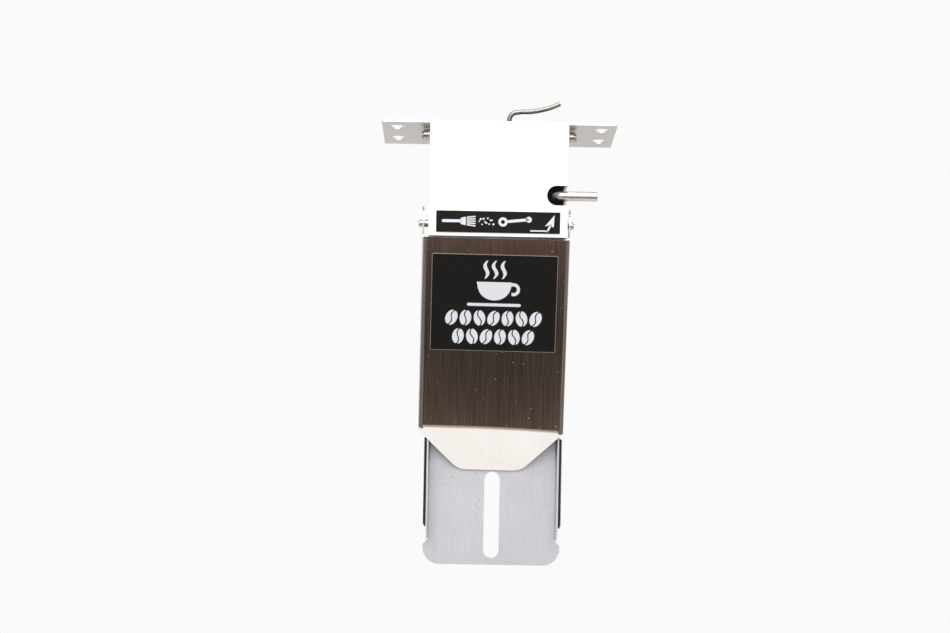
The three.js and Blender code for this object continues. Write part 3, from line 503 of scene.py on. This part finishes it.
def make_channel():
    sheet = 1
    top_edge, low_edge = 10, 30  # the flanges' front edge, above and below the cover's slope
    slope_top = -cover_drop - 17
    slope_end = -205.04  # level with the cover's bend
    flange_end = -283.04
    foot_end = (channel_low.z - top_z) / MM
    foot_half = channel_high.x / MM
    back = web_y + sheet
    shell = block("channel_sheet", at(-channel_half, top_edge, flange_end - 5), at(channel_half, back, 0))
    pick(shell, "FACE", lambda _, face: abs(face.normal.z) > 0.9 or face.normal.y < -0.9)
    bpy.ops.mesh.delete(type="FACE")
    pick(shell, "EDGE", lambda middle, edge: abs(abs(middle.x) - channel_half * MM) < 1e-6
         and abs(middle.y - at(0, back, 0).y) < 1e-6)
    bpy.ops.mesh.bevel(offset=2.5 * MM, segments=10, profile=0.5)
    thicken(shell, sheet)
    below = 1.75  # room left under the plate
    combine(shell, side_profile("flange_outline", [
        (top_edge, plate_underside(top_edge) - below), (top_edge, slope_top, 30),
        (low_edge, slope_end, 30), (low_edge, flange_end + 7, 2), (low_edge + 7, flange_end, 2),
        (back + 0.05, flange_end), (back + 0.05, plate_underside(back) - below)]), "INTERSECT")
    neck = channel_half - 2
    shoulder, ear, round_foot = 4.2, 1.5, 11.7
    combine(shell, front_profile("foot", [
        (-neck, flange_end + shoulder), (-neck, flange_end), (-foot_half, flange_end - shoulder, ear),
        (-foot_half, foot_end, round_foot), (foot_half, foot_end, round_foot),
        (foot_half, flange_end - shoulder, ear), (neck, flange_end), (neck, flange_end + shoulder)],
        web_y, back), "UNION")
    slot_half = 5.3
    slot_top, slot_end = -236.64, foot_end + 4.7
    round_end = slot_half - 0.02
    combine(shell, front_profile("slot", [
        (-slot_half, slot_top, round_end), (-slot_half, slot_end, round_end),
        (slot_half, slot_end, round_end), (slot_half, slot_top, round_end)], web_y - 2, back + 2))
    shaft_hole = 4.0
    combine(shell, rod("shaft_hole", at(lever_x, web_y - 2, lever_z), at(lever_x, back + 2, lever_z),
                       shaft_hole * MM))
    cross_hole(shell, screw_y, screw_z, screw_hole)
    cross_hole(shell, rivet_y, rivet_z, rivet_hole)
    cross_hole(shell, hinge_y, hinge_z, hinge_hole)
    bracket_y = 21.5  # the lever bracket's rivets, one below and one above the lever
    for z in (lever_z - 10.3, lever_z + 10.3):
        combine(shell, rod("rivet_hole", at(0, bracket_y, z), at(beyond, bracket_y, z), rivet_hole * MM))
    for level in (web_front, web_front + sheet * MM):  # evens the foot with the web, so that no seam shows
        pick(shell, "VERT", lambda middle, _: abs(middle.y - level) < 0.02 * MM)
        bpy.ops.transform.resize(value=(1, 0, 1), center_override=(0, level, 0))
    bpy.ops.mesh.select_all(action="SELECT")
    bpy.ops.mesh.remove_doubles(threshold=0.004 * MM)
    bpy.ops.mesh.dissolve_degenerate(threshold=0.004 * MM)
    bpy.ops.mesh.dissolve_limited(angle_limit=math.radians(0.3))
    complete(shell, "chute_frame", "channel_aluminium", "channel", edge=0.12)


# ---- cover: a folded sheet whose front turns back at the foot as a lip ----


def make_cover():
    sheet = 1
    half = 49
    corner = 3.3
    proud = 0.8  # the top edge stands this far in front of the housing
    bend_depth = 21.6
    top = Vector((0, -proud - hinge_y, -cover_drop - hinge_z))
    bend_z = top.z - cover_length * math.cos(cover_lean)
    bend_start = 1.0  # the front is flat down to here above its end
    flat = half - corner
    splay = math.tan(math.radians(2.6))  # the sides spread towards the back
    deep, tall = 42, 34  # the sides, before they are cut to their outline
    shell = block("cover_sheet", Vector((-half, 0, bend_start - cover_length)) * MM,
                  Vector((half, deep, tall)) * MM)
    pick(shell, "FACE", lambda _, face: abs(face.normal.z) > 0.9 or face.normal.y > 0.9)
    bpy.ops.mesh.delete(type="FACE")
    for side in sides.values():
        pick(shell, "VERT", lambda middle, _: middle.y > MM and middle.x * side > 0)
        bpy.ops.transform.translate(value=(side * deep * splay * MM, 0, 0))
    pick(shell, "EDGE", lambda middle, edge: middle.y < MM and abs(middle.x) > 0.9 * half * MM
         and abs(edge.verts[0].co.x - edge.verts[1].co.x) < 1e-6)
    bpy.ops.mesh.bevel(offset=corner * MM, segments=10, profile=0.5)
    pick(shell, "EDGE", lambda middle, edge: middle.y < 1e-5 and abs(middle.x) < MM
         and abs(edge.verts[0].co.z - edge.verts[1].co.z) < 1e-6)
    bpy.ops.mesh.subdivide(number_cuts=19)
    thicken(shell, sheet)

    # leans back from its top edge
    shell.matrix_world = Matrix.Translation(cover_hinge + top * MM) @ Matrix.Rotation(cover_lean, 4, "X")
    settle(shell)

    ear = 11.5  # radius of the round end about the hinge
    side_depth = 16.5
    by_hinge = lambda y, z: cover_hinge + Vector((-beyond, y, z)) * MM
    combine(shell, outline("ear_outline", [
        (-60, top.z), (-60, bend_z - 60), (side_depth, bend_z - 60), (side_depth, bend_z), (ear, -1),
        (ear, ear, ear - 0.05), (-ear, ear, ear - 0.05), (-ear, top.z, 2)],
        by_hinge, 2 * beyond * MM * X, steps=14), "INTERSECT")

    # the foot of the front turns back through the bend and on as the lip
    down = Vector((0, math.sin(cover_lean), -math.cos(cover_lean)))
    inward = Vector((0, math.cos(cover_lean), math.sin(cover_lean)))
    lip_drop, lip_depth = 30.3, 43.5
    bend_radius = 6
    lip_run = Vector((0, lip_depth - hinge_y - (bend_depth - hinge_y + 0.5), -lip_drop))
    lip_tilt = math.atan2(lip_run.y, -lip_run.z)
    foot = cover_hinge + (top + down * (cover_length - bend_start) + inward * sheet / 2) * MM
    pick(shell, "FACE", lambda middle, face: face.normal.dot(down) > 0.95
         and abs(middle.x - cover_hinge.x) < flat * MM and abs((middle - foot).dot(inward)) < 0.3 * MM)
    bpy.ops.mesh.spin(steps=8, angle=lip_tilt - cover_lean, center=foot + inward * bend_radius * MM, axis=-X)
    along = Vector((0, math.sin(lip_tilt), -math.cos(lip_tilt)))
    bpy.ops.mesh.extrude_region_move(TRANSFORM_OT_translate={"value": along * 0.6 * MM})
    for side in sides.values():
        mesh = bmesh.from_edit_mesh(shell.data)
        chosen = {vert.index for vert in mesh.verts if vert.select}
        pick(shell, "VERT", lambda middle, vert: vert.index in chosen
             and (middle.x - cover_hinge.x) * side > (flat - 0.1) * MM)
        bpy.ops.transform.translate(value=(side * corner * MM, 0, 0))
        pick(shell, "FACE", lambda middle, face: face.normal.dot(along) > 0.95 and middle.z < foot.z)
    bpy.ops.mesh.extrude_region_move(TRANSFORM_OT_translate={"value": along * 36 * MM})

    # the sides reach down to the lip's corners
    pick(shell, "VERT", lambda middle, _: abs(middle.x - cover_hinge.x) > (flat + 0.05) * MM
         and abs((middle - foot).dot(down)) < 0.3 * MM)
    side_reach = 2.4
    bpy.ops.transform.translate(value=down * side_reach * MM)

    # the bend sags towards the right
    sag = 2.2
    mesh = bmesh.from_edit_mesh(shell.data)
    columns = sorted({round((vert.co.x - cover_hinge.x) / MM, 2) for vert in mesh.verts
                      if vert.co.z < foot.z + 2 * MM})
    for column in columns:
        across = (column + half) / (2 * half)
        pick(shell, "VERT", lambda middle, _: abs((middle.x - cover_hinge.x) / MM - column) < 0.02
             and foot.z - 6 * MM < middle.z < foot.z + 1.5 * MM and abs(middle.y - foot.y) < 6 * MM)
        bpy.ops.transform.translate(value=down * sag * MM * across ** 3)

    bpy.ops.object.mode_set(mode="OBJECT")
    lower = half - 27.5  # half the lip's width at its end
    shoulder = bend_z - 3.2
    lip_end = bend_z - lip_drop
    combine(shell, outline("lip_outline", [
        (-80, 60), (-80, shoulder), (-half, shoulder), (-lower, lip_end, 12),
        (lower, lip_end, 12), (half, shoulder), (80, shoulder), (80, 60)],
        lambda x, z: cover_hinge + Vector((x, -60, z)) * MM, 200 * MM * Y), "INTERSECT")
    ear_hole = 2.15
    combine(shell, rod("ear_hole", cover_hinge - beyond * MM * X, cover_hinge + beyond * MM * X,
                       ear_hole * MM))
    skew = Matrix.Rotation(cover_skew, 4, "Y")
    shell.matrix_world = Matrix.Translation(cover_hinge) @ skew @ Matrix.Translation(-cover_hinge)
    settle(shell)
    complete(shell, "cover", "brushed_steel", "cover", edge=0.12)

    # the faces that look in towards the channel's core get a dark dull brown: coffee dust, and painted shade
    # on the cover's inner faces and the lip's back
    shell.data.materials.append(dust_and_painted_shade_steel)
    core = web_front + 16 * MM
    pick(shell, "FACE", lambda middle, face: face.normal.dot(Vector((-middle.x, core - middle.y, 0)))
         > 0.5 * Vector((middle.x, core - middle.y, 0)).length)
    shell.active_material_index = 1
    bpy.ops.object.material_slot_assign()
    deselect()


# ---- mounting plate: made level, then tilted about its front top edge ----


def make_plate():
    half = plate_high.x / MM
    depth = 58
    tab_outer = channel_half - 1.3
    tab_inner = tab_outer - plate_sheet
    bend_end = tab_outer + 2.5
    inlet = (9, 37.03)  # its front and back edges
    tab_drop = 20.94
    slot_x = half - 9.75
    slot_rows = (13.6, 42)
    across, along = 4.5, 5.5  # half a slot's width and length
    level = lambda x, y, z: Vector((x, y, z)) * MM
    plate = outline("plate", [(-half, 0, 0.6), (half, 0, 0.6), (half, depth, 0.6), (-half, depth, 0.6)],
                    lambda x, y: level(x, y, -plate_sheet), plate_sheet * MM * Z, steps=3)
    combine(plate, block("inlet", level(-bend_end, inlet[0] - 0.8, -5), level(bend_end, inlet[1] + 0.8, 5)))
    for side in sides.values():
        tab = outline("tab", [
            (side * (bend_end + plate_sheet), 0), (side * tab_inner, 0, 2.5), (side * tab_inner, -tab_drop),
            (side * tab_outer, -tab_drop), (side * tab_outer, -plate_sheet, 1),
            (side * (bend_end + plate_sheet), -plate_sheet)],
            lambda x, z: level(x, inlet[0], z), (inlet[1] - inlet[0]) * MM * Y)
        combine(plate, tab, "UNION")
        for row in slot_rows:
            near, far = side * slot_x - across, side * slot_x + across
            combine(plate, outline("screw_slot", [
                (near, row - along, across - 0.02), (far, row - along, across - 0.02),
                (far, row + along, across - 0.02), (near, row + along, across - 0.02)],
                lambda x, y: level(x, y, -5), 10 * MM * Z))
    plate.matrix_world = Matrix.Translation(at(0, plate_setback, 0)) @ Matrix.Rotation(-tilt, 4, "X")
    settle(plate)
    cross_hole(plate, screw_y, screw_z, screw_hole)
    cross_hole(plate, rivet_y, rivet_z, rivet_hole)
    complete(plate, "chute_frame", "plate_aluminium", "mounting_plate", edge=0.15)


# ---- toothed grip strips ----


def make_grip(name, side):
    low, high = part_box(f"grip_strip_{name}")
    face = channel_half + 0.3
    base, tooth, pitch = 1.05, 0.7, 1.9
    top, bottom = (high.z - top_z) / MM, (low.z - top_z) / MM
    front = (low.y - face_y) / MM
    corners = [(side * face, top), (side * (face + base), top)]
    z = top - 0.3
    while z - pitch > bottom:
        corners += [(side * (face + base + tooth), z - 0.35 * pitch),
                    (side * (face + base + tooth), z - 0.6 * pitch), (side * (face + base), z - pitch)]
        z -= pitch
    corners += [(side * (face + base), bottom), (side * face, bottom)]
    strip = outline(f"grip_strip_{name}_toothed", corners, lambda x, z: at(x, front, z), (high.y - low.y) * Y)
    complete(strip, "chute_frame", "black_rubber", f"grip_strip_{name}", edge=0.1)


# ---- cleaning lever and its agitator wire ----


def make_lever():
    low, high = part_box("cleaning_lever")
    radius = (lever_axis.y - low.y) / MM
    bend = 5.5  # radius of the bend's middle line
    tip = high.x
    depth = lever_axis.y
    deselect()
    bpy.ops.mesh.primitive_circle_add(vertices=40, radius=radius * MM, fill_type="NGON",
                                      location=(tip, depth, lever_axis.z), rotation=(0, math.radians(90), 0))
    lever = bpy.context.object
    lever.name = "lever_rod"
    settle(lever)
    bpy.ops.object.mode_set(mode="EDIT")
    bpy.ops.mesh.select_mode(type="FACE")
    bpy.ops.mesh.select_all(action="SELECT")
    bpy.ops.mesh.extrude_region_move(
        TRANSFORM_OT_translate={"value": (lever_axis.x + bend * MM - tip) * X})
    centre = Vector((lever_axis.x + bend * MM, depth + bend * MM, lever_axis.z))
    bpy.ops.mesh.spin(steps=14, angle=math.radians(90), center=centre, axis=Z)
    here = centre.y
    shaft, neck = 2.5, 1.9  # radii past the shoulder and in the ring's groove
    shoulder = 12.1
    end = (high.y - face_y) / MM
    groove = end - 1.8
    for y, size in ((shoulder, radius), (shoulder, shaft), (groove, shaft), (groove, neck),
                    (groove + 1, neck), (groove + 1, shaft), (end, shaft)):
        target = at(0, y, 0).y
        bpy.ops.mesh.extrude_region_move(TRANSFORM_OT_translate={"value": (target - here) * Y})
        mesh = bmesh.from_edit_mesh(lever.data)
        ends = [vert.co for vert in mesh.verts if vert.select]
        middle = sum(ends, Vector()) / len(ends)
        now = (ends[0] - middle).length
        bpy.ops.transform.resize(value=(size * MM / now,) * 3, center_override=middle)
        here = target
    bpy.ops.mesh.select_all(action="SELECT")
    bpy.ops.mesh.normals_make_consistent(inside=False)
    pick(lever, "EDGE", lambda middle, edge: min(vert.co.x for vert in edge.verts) > tip - 1e-6)
    bpy.ops.mesh.bevel(offset=0.55 * MM, segments=4, profile=0.5)
    bpy.ops.object.mode_set(mode="OBJECT")
    pin = lever_axis + Vector((0, 17.5 * MM, 0))
    combine(lever, rod("pin_hole", pin - 9 * MM * Z, pin + 9 * MM * Z, 1.25 * MM))
    complete(lever, "lever", "polished_steel", "cleaning_lever", edge=0, paint=lever_steel)


def make_wire():
    low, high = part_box("agitator_wire")
    depth = (low.y + high.y) / 2
    gauge = 1.6  # the wire's radius
    # points to the right of the lever's axis and above it
    route = [(-6.6, -7.4), (-14.7, 11.4), (-22.8, 30.1), (-29.6, 45.8), (-31.6, 51.2), (-29.8, 56.2),
             (-25.2, 57.7), (-17.1, 58.2), (-8.1, 59.9), (-2.1, 61.8), (2.7, 63.97)]
    deselect()
    bpy.ops.curve.primitive_bezier_curve_add()
    wire = bpy.context.object
    wire.name = "bent_agitator_wire"
    wire.matrix_world = Matrix.Identity(4)
    line = wire.data
    line.splines.clear()
    path = line.splines.new("BEZIER")
    path.bezier_points.add(len(route) - 1)
    for point, (x, z) in zip(path.bezier_points, route):
        point.co = (lever_axis.x + x * MM, depth, lever_axis.z + z * MM)
        point.handle_left_type = point.handle_right_type = "AUTO"
    line.dimensions = "3D"
    line.resolution_u = 10
    line.bevel_depth = gauge * MM
    line.bevel_resolution = 5
    line.use_fill_caps = True
    bpy.ops.object.convert(target="MESH")
    wire = bpy.context.object
    bpy.ops.object.mode_set(mode="EDIT")
    bpy.ops.mesh.select_all(action="SELECT")
    bpy.ops.mesh.remove_doubles(threshold=0.01 * MM)
    bpy.ops.mesh.normals_make_consistent(inside=False)
    bpy.ops.object.mode_set(mode="OBJECT")
    complete(wire, "lever", "polished_steel", "agitator_wire", edge=0.4, angle=60, paint=wire_steel)


# ---- screws ----


def cut_driver_slot(screw, top, deep, half_width):
    """Cuts a straight slot for a driver across the top of a head."""
    reach = Vector((deep, 6, half_width)) * MM
    combine(screw, block("driver_slot", top - reach, top + reach))


def make_upper_screw(name, side):
    head = housing_half + 1.5
    end = channel_half - 7.3
    foot = at(0, screw_y, screw_z)
    screw = lathe(f"upper_screw_{name}_slotted", [
        (0, end), (1.6, end), (2, end + 0.5), (2, head), (3.75, head), (3.8, head + 0.15), (3.8, head + 2.1),
        (3.6, head + 2.9), (3.1, head + 3.6), (2.3, head + 4.05), (1.2, head + 4.2), (0, head + 4.2)],
        foot, side * X, steps=36)
    cut_driver_slot(screw, at(side * (head + 4.2), screw_y, screw_z), 1.5, 0.55)
    complete(screw, "chute_frame", "polished_steel", f"upper_screw_{name}", edge=0.1, paint=screw_steel)


def make_hinge_screw(name, side):
    low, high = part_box(f"hinge_screw_{name}")
    outer = max(abs(low.x), abs(high.x)) / MM
    inner = min(abs(low.x), abs(high.x)) / MM
    head = outer - 2.2
    foot = at(0, hinge_y, hinge_z)
    screw = lathe(f"hinge_screw_{name}_slotted", [
        (0, inner), (1.3, inner), (1.6, inner + 0.4), (1.6, head), (2.55, head), (2.6, head + 0.1),
        (2.6, head + 1.1), (2.35, head + 1.7), (1.8, head + 2.1), (0.9, head + 2.2), (0, head + 2.2)],
        foot, side * X, steps=32)
    cut_driver_slot(screw, at(side * (head + 2.2), hinge_y, hinge_z), 0.9, 0.4)
    complete(screw, "chute_frame", "polished_steel", f"hinge_screw_{name}", edge=0.08, paint=screw_steel)


# ---- printing on the labels: pictures only ----


def join(name, parts):
    deselect()
    for part in parts:
        part.select_set(True)
    bpy.context.view_layer.objects.active = parts[0]
    bpy.ops.object.join()
    parts[0].name = name
    return parts[0]


# heights above a label's face: the black ground, the pictures on it, and tools that cut through both
GROUND_LOW, GROUND_TOP, ART_TOP = 0.0, 0.03, 0.06
TOOL_LOW, TOOL_TOP = -0.1, 0.2


class Sheet:
    """A flat place to print on: middle point, directions across and up, and the direction it faces."""

    def __init__(self, middle, across, up):
        self.middle, self.across, self.up = middle, across, up
        self.out = across.cross(up).normalized()

    def spot(self, u, v, lift):
        return self.middle + (self.across * u + self.up * v + self.out * lift) * MM

    def shape(self, corners, low, high, steps=6):
        return outline("print", corners, lambda u, v: self.spot(u, v, low),
                       self.out * (high - low) * MM, steps)

    def disc(self, u, v, radius, low, high):
        return rod("print", self.spot(u, v, low), self.spot(u, v, high), radius * MM, 24)

    def art(self, kind, *values):
        """A shape, disc, bar or wave as thick as the pictures."""
        return getattr(self, kind)(*values, GROUND_TOP, ART_TOP)

    def bar(self, start, end, width, low, high):
        """A straight stroke with round ends."""
        run = Vector(end) - Vector(start)
        side = Vector((-run.y, run.x)).normalized() * width / 2
        ahead = run.normalized() * width / 2
        a, b = Vector(start) - ahead, Vector(end) + ahead
        r = width / 2 * 0.96
        corners = [(*(a + side), r), (*(a - side), r), (*(b - side), r), (*(b + side), r)]
        return self.shape(corners, low, high, 4)

    def wave(self, u, bottom, top, sway, width, low, high):
        """An upright wavy stroke that thins towards its ends."""
        steps = 14
        left, right = [], []
        for i in range(steps + 1):
            share = i / steps
            v = bottom + (top - bottom) * share
            middle = u + sway * math.sin(2 * math.pi * share) + 0.12 * (v - bottom)
            half = width / 2 * (0.35 + 0.65 * math.sin(math.pi * share))
            left.append((middle - half, v))
            right.append((middle + half, v))
        return self.shape(left + right[::-1], low, high)


def print_ground(name, sheet, half_width, half_height, body):
    """The black printed ground, which leaves a thin light rim of bare film."""
    rim = 0.22
    w, h = half_width - rim, half_height - rim
    ground = sheet.shape([(-w, -h, 0.6), (w, -h, 0.6), (w, h, 0.6), (-w, h, 0.6)], GROUND_LOW, GROUND_TOP, 4)
    ground.name = name
    complete(ground, body, "black_label", edge=0)


def print_lever_label():
    low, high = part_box("lever_label")
    middle = Vector(((low.x + high.x) / 2, low.y, (low.z + high.z) / 2))
    sheet = Sheet(middle, X, Z)
    print_ground("lever_label_ground", sheet, (high.x - low.x) / 2 / MM, (high.z - low.z) / 2 / MM,
                 "chute_frame")
    art = sheet.art
    marks = [art("bar", (-36.6, 0.4), (-25.5, 0.4), 1.9)]
    marks.append(art("shape", [(-25, -1.6, 0.5), (-21.6, -2.5, 0.5), (-21.6, 3.3, 0.5), (-25, 2.4, 0.5)]))
    for i in range(5):
        marks.append(art("bar", (-20.6, -2.1 + 1.25 * i), (-15.4, -2.7 + 1.55 * i), 0.85))
    for i in range(11):
        marks.append(art("disc", -12.6 + 0.95 * i, 0.4 + 2.1 * math.sin(2.4 * i),
                         0.45 + 0.28 * math.sin(1.7 * i) ** 2))
    pivot = art("disc", 3.2, 0.2, 3.1)
    combine(pivot, sheet.disc(3.2, 0.2, 1.35, TOOL_LOW, TOOL_TOP))
    marks.append(pivot)
    marks.append(art("bar", (7.2, 0.6), (19.5, 1.9), 1.9))
    marks.append(art("disc", 20.4, 2.0, 2.0))
    marks.append(art("bar", (21.8, -5.4), (33, -5.4), 0.9))
    marks.append(art("bar", (33, -5.4), (34.9, -1.6), 1.3))
    marks.append(art("shape", [(31.2, -2.2), (34.2, -1.6), (37, -3), (37.6, 5.4, 0.2)]))
    pictures = join("lever_label_pictures", marks)
    complete(pictures, "chute_frame", "black_label", edge=0, paint=label_white)


def bean(sheet, u, v, turn, long, wide):
    """A coffee bean: two halves parted by a wavy groove."""
    halves = []
    for side in (1, -1):
        edge = []
        steps = 12
        for i in range(steps + 1):
            angle = math.pi * i / steps
            edge.append((wide * math.sin(angle) * side, long * math.cos(angle) * side))
        groove = [(side * 0.42 + side * 0.16 * wide * math.sin(2 * math.pi * i / 8) * 1.6,
                   side * long * 0.94 * (2 * i / 8 - 1)) for i in range(9)]
        points = []
        for x, y in edge[1:-1] + groove:
            points.append((u + x * math.cos(turn) - y * math.sin(turn),
                           v + x * math.sin(turn) + y * math.cos(turn)))
        halves.append(sheet.art("shape", points))
    return halves


def print_cover_label():
    label = frame["nodes"]["cover_label"]
    corners = [vert.co.copy() for vert in label.data.vertices]
    turn = Matrix.Rotation(cover_skew, 3, "Y") @ Matrix.Rotation(cover_lean, 3, "X")
    across, up = turn @ X, turn @ Z
    out = across.cross(up)
    spans = [[corner.dot(way) for corner in corners] for way in (across, up, out)]
    middles = [(min(span) + max(span)) / 2 for span in spans[:2]]
    middle = across * middles[0] + up * middles[1] + out * max(spans[2])
    sheet = Sheet(middle, across, up)
    half_width, half_height = [(max(span) - min(span)) / 2 / MM for span in spans[:2]]
    print_ground("cover_label_ground", sheet, half_width, half_height, "cover")
    art = sheet.art
    marks = []
    rim_half, rim_v, bowl_half, bowl_deep = 11.9, 14.2, 11.4, 12.4
    bowl = [(-rim_half, rim_v, 0.5)] + [
        (-bowl_half * math.cos(math.pi * i / 12), rim_v - bowl_deep * math.sin(math.pi * i / 12) ** 0.8)
        for i in range(1, 12)] + [(rim_half, rim_v, 0.5)]
    marks.append(art("shape", bowl))
    handle = art("disc", 12.8, 9.4, 4.4)
    combine(handle, sheet.disc(12.8, 9.4, 2.3, TOOL_LOW, TOOL_TOP))
    inside = [(5, 3), (11.6, 3), (11.6, 16), (5, 16)]  # the part of the ring that lies in the cup
    combine(handle, sheet.shape(inside, TOOL_LOW, TOOL_TOP))
    marks.append(handle)
    marks.append(art("bar", (-17, -1.2), (17, -1.2), 2.0))
    for u, sway in ((-6.4, 1.3), (-0.6, 1.5), (5.2, 1.3)):
        marks.append(art("wave", u, 16.4, 28.6, sway, 2.7))
    for row, (v, count) in enumerate(((-10.3, 7), (-22.9, 6))):
        for i in range(count):
            u = (i - (count - 1) / 2) * 9.4
            marks += bean(sheet, u, v, math.radians(-24 + 16 * ((i + row) % 3)), 5.3, 3.9)
    pictures = join("cover_label_pictures", marks)
    complete(pictures, "cover", "black_label", edge=0, paint=label_white)


make_housing()
make_channel()
make_cover()
make_plate()
for name, side in sides.items():
    make_grip(name, side)
    make_upper_screw(name, side)
    make_hinge_screw(name, side)
make_lever()
make_wire()
print_lever_label()
print_cover_label()

# ---- floor, light and camera ----


def pale_floor():
    bpy.ops.object.select_all(action="DESELECT")
    bpy.ops.mesh.primitive_plane_add(size=0.9, location=(0, 0, -0.9))
    floor = bpy.context.object
    floor.name = "floor"
    made, _, shader = new_material("matt_white_board")
    shader.inputs["Base Color"].default_value = linear("#e6e5e4")
    shader.inputs["Roughness"].default_value = 0.9
    floor.data.materials.append(made)


def height_bands(tree, height, stops):
    """Colours of the room by the height of a direction, from straight down (-1) to straight up (1)."""
    ramp = node(tree, "ShaderNodeValToRGB", Fac=height)
    elements = ramp.color_ramp.elements
    while len(elements) > 1:
        elements.remove(elements[-1])
    for i, (level, colour, strength) in enumerate(stops):
        stop = elements[0] if i == 0 else elements.new((level + 1) / 2)
        stop.position = (level + 1) / 2
        stop.color = linear(colour, strength)
    return ramp.outputs["Color"]


def surroundings():
    """A white room with a dark brown stretch low in front, which the cover mirrors, and greyer sides.

    What is behind the object is even and pale, and the camera itself sees plain near-white everywhere.
    """
    world = bpy.data.worlds.new("white_room")
    bpy.context.scene.world = world
    world.use_nodes = True
    tree = world.node_tree
    facing = node(tree, "ShaderNodeTexCoord").outputs["Generated"]
    parts = node(tree, "ShaderNodeSeparateXYZ", Vector=facing)
    height = node(tree, "ShaderNodeMapRange", Value=parts.outputs["Z"], From_Min=-1.0,
                  From_Max=1.0).outputs["Result"]
    ahead = height_bands(tree, height, [
        (-1.0, "#ffffff", 1.05), (-0.9, "#fbeee4", 1.0), (-0.8, "#dac6b8", 1.0), (-0.56, "#c8af9d", 1.0),
        (-0.47, "#a08270", 1.0), (-0.43, "#5f5046", 1.0), (-0.37, "#362e29", 1.0),
        (-0.31, "#241e1a", 1.0), (-0.275, "#6c4f42", 1.0), (-0.22, "#a38879", 1.0),
        (-0.16, "#bbb4b4", 1.0), (-0.08, "#c9c9ce", 1.0), (0.06, "#d2d2d8", 1.0),
        (0.2, "#ffffff", 2.3), (0.5, "#ffffff", 2.3), (0.7, "#ffffff", 1.0)])
    beside = height_bands(tree, height, [
        (-1.0, "#ffffff", 1.0), (-0.5, "#f0edea", 1.0), (-0.4, "#b3aca8", 1.0), (-0.32, "#756c66", 1.0),
        (-0.1, "#847d79", 1.0), (0.03, "#c6c4c3", 1.0), (0.3, "#f6f6f6", 1.0), (1.0, "#ffffff", 1.0)])
    ease = {"interpolation_type": "SMOOTHSTEP"}
    behind = node(tree, "ShaderNodeMapRange", ease, Value=parts.outputs["Y"], From_Min=-0.3, From_Max=0.1)
    level = node(tree, "ShaderNodeMix", {"data_type": "RGBA"}, Factor=behind.outputs["Result"],
                 i6=ahead, i7=linear("#f4f2f0"))
    width = node(tree, "ShaderNodeMath", {"operation": "ABSOLUTE"}, i0=parts.outputs["X"])
    aside = node(tree, "ShaderNodeMapRange", ease, Value=width.outputs["Value"], From_Min=0.32, From_Max=0.7)
    mix = node(tree, "ShaderNodeMix", {"data_type": "RGBA"}, Factor=aside.outputs["Result"],
               i6=level.outputs[2], i7=beside)
    seen = node(tree, "ShaderNodeMix", {"data_type": "RGBA"},
                Factor=node(tree, "ShaderNodeLightPath").outputs["Is Camera Ray"],
                i6=mix.outputs[2], i7=linear("#fafafa"))
    tree.links.new(seen.outputs[2], tree.nodes["Background"].inputs["Color"])


def soft_light(name, place, aim, size, power):
    light = bpy.data.lights.new(name, "AREA")
    light.shape = "RECTANGLE"
    light.size, light.size_y = size
    light.energy = power
    lamp = bpy.data.objects.new(name, light)
    lamp.location = place
    lamp.rotation_euler = (Vector(aim) - Vector(place)).to_track_quat("-Z", "Y").to_euler()
    bpy.context.collection.objects.link(lamp)


def front_camera():
    """Level with the cover and 1.23 m in front, a little to the left, rolled by one degree."""
    data = bpy.data.cameras.new("front_camera")
    data.lens = 70.1
    data.sensor_width = 36
    data.clip_start = 0.05
    camera = bpy.data.objects.new("front_camera", data)
    turn = Matrix.Rotation(math.radians(-0.51), 3, "Z") @ Matrix.Rotation(math.radians(0.547), 3, "X") \
        @ Matrix.Rotation(math.radians(-1.057), 3, "Y") @ Matrix.Rotation(math.radians(90), 3, "X")
    camera.location = at(-25.2, -1230.6, -142.1)
    camera.rotation_euler = turn.to_euler()
    bpy.context.collection.objects.link(camera)
    bpy.context.scene.camera = camera


pale_floor()
surroundings()
soft_light("overhead", (0.0, -0.55, 1.3), (0, -0.05, -0.15), (1.4, 1.0), 22)
soft_light("front_fill", (-0.3, -1.6, 0.9), (0, 0, -0.1), (1.2, 0.8), 14)
front_camera()

bpy.context.scene.view_settings.view_transform = "Standard"
bpy.context.scene.view_settings.look = "None"
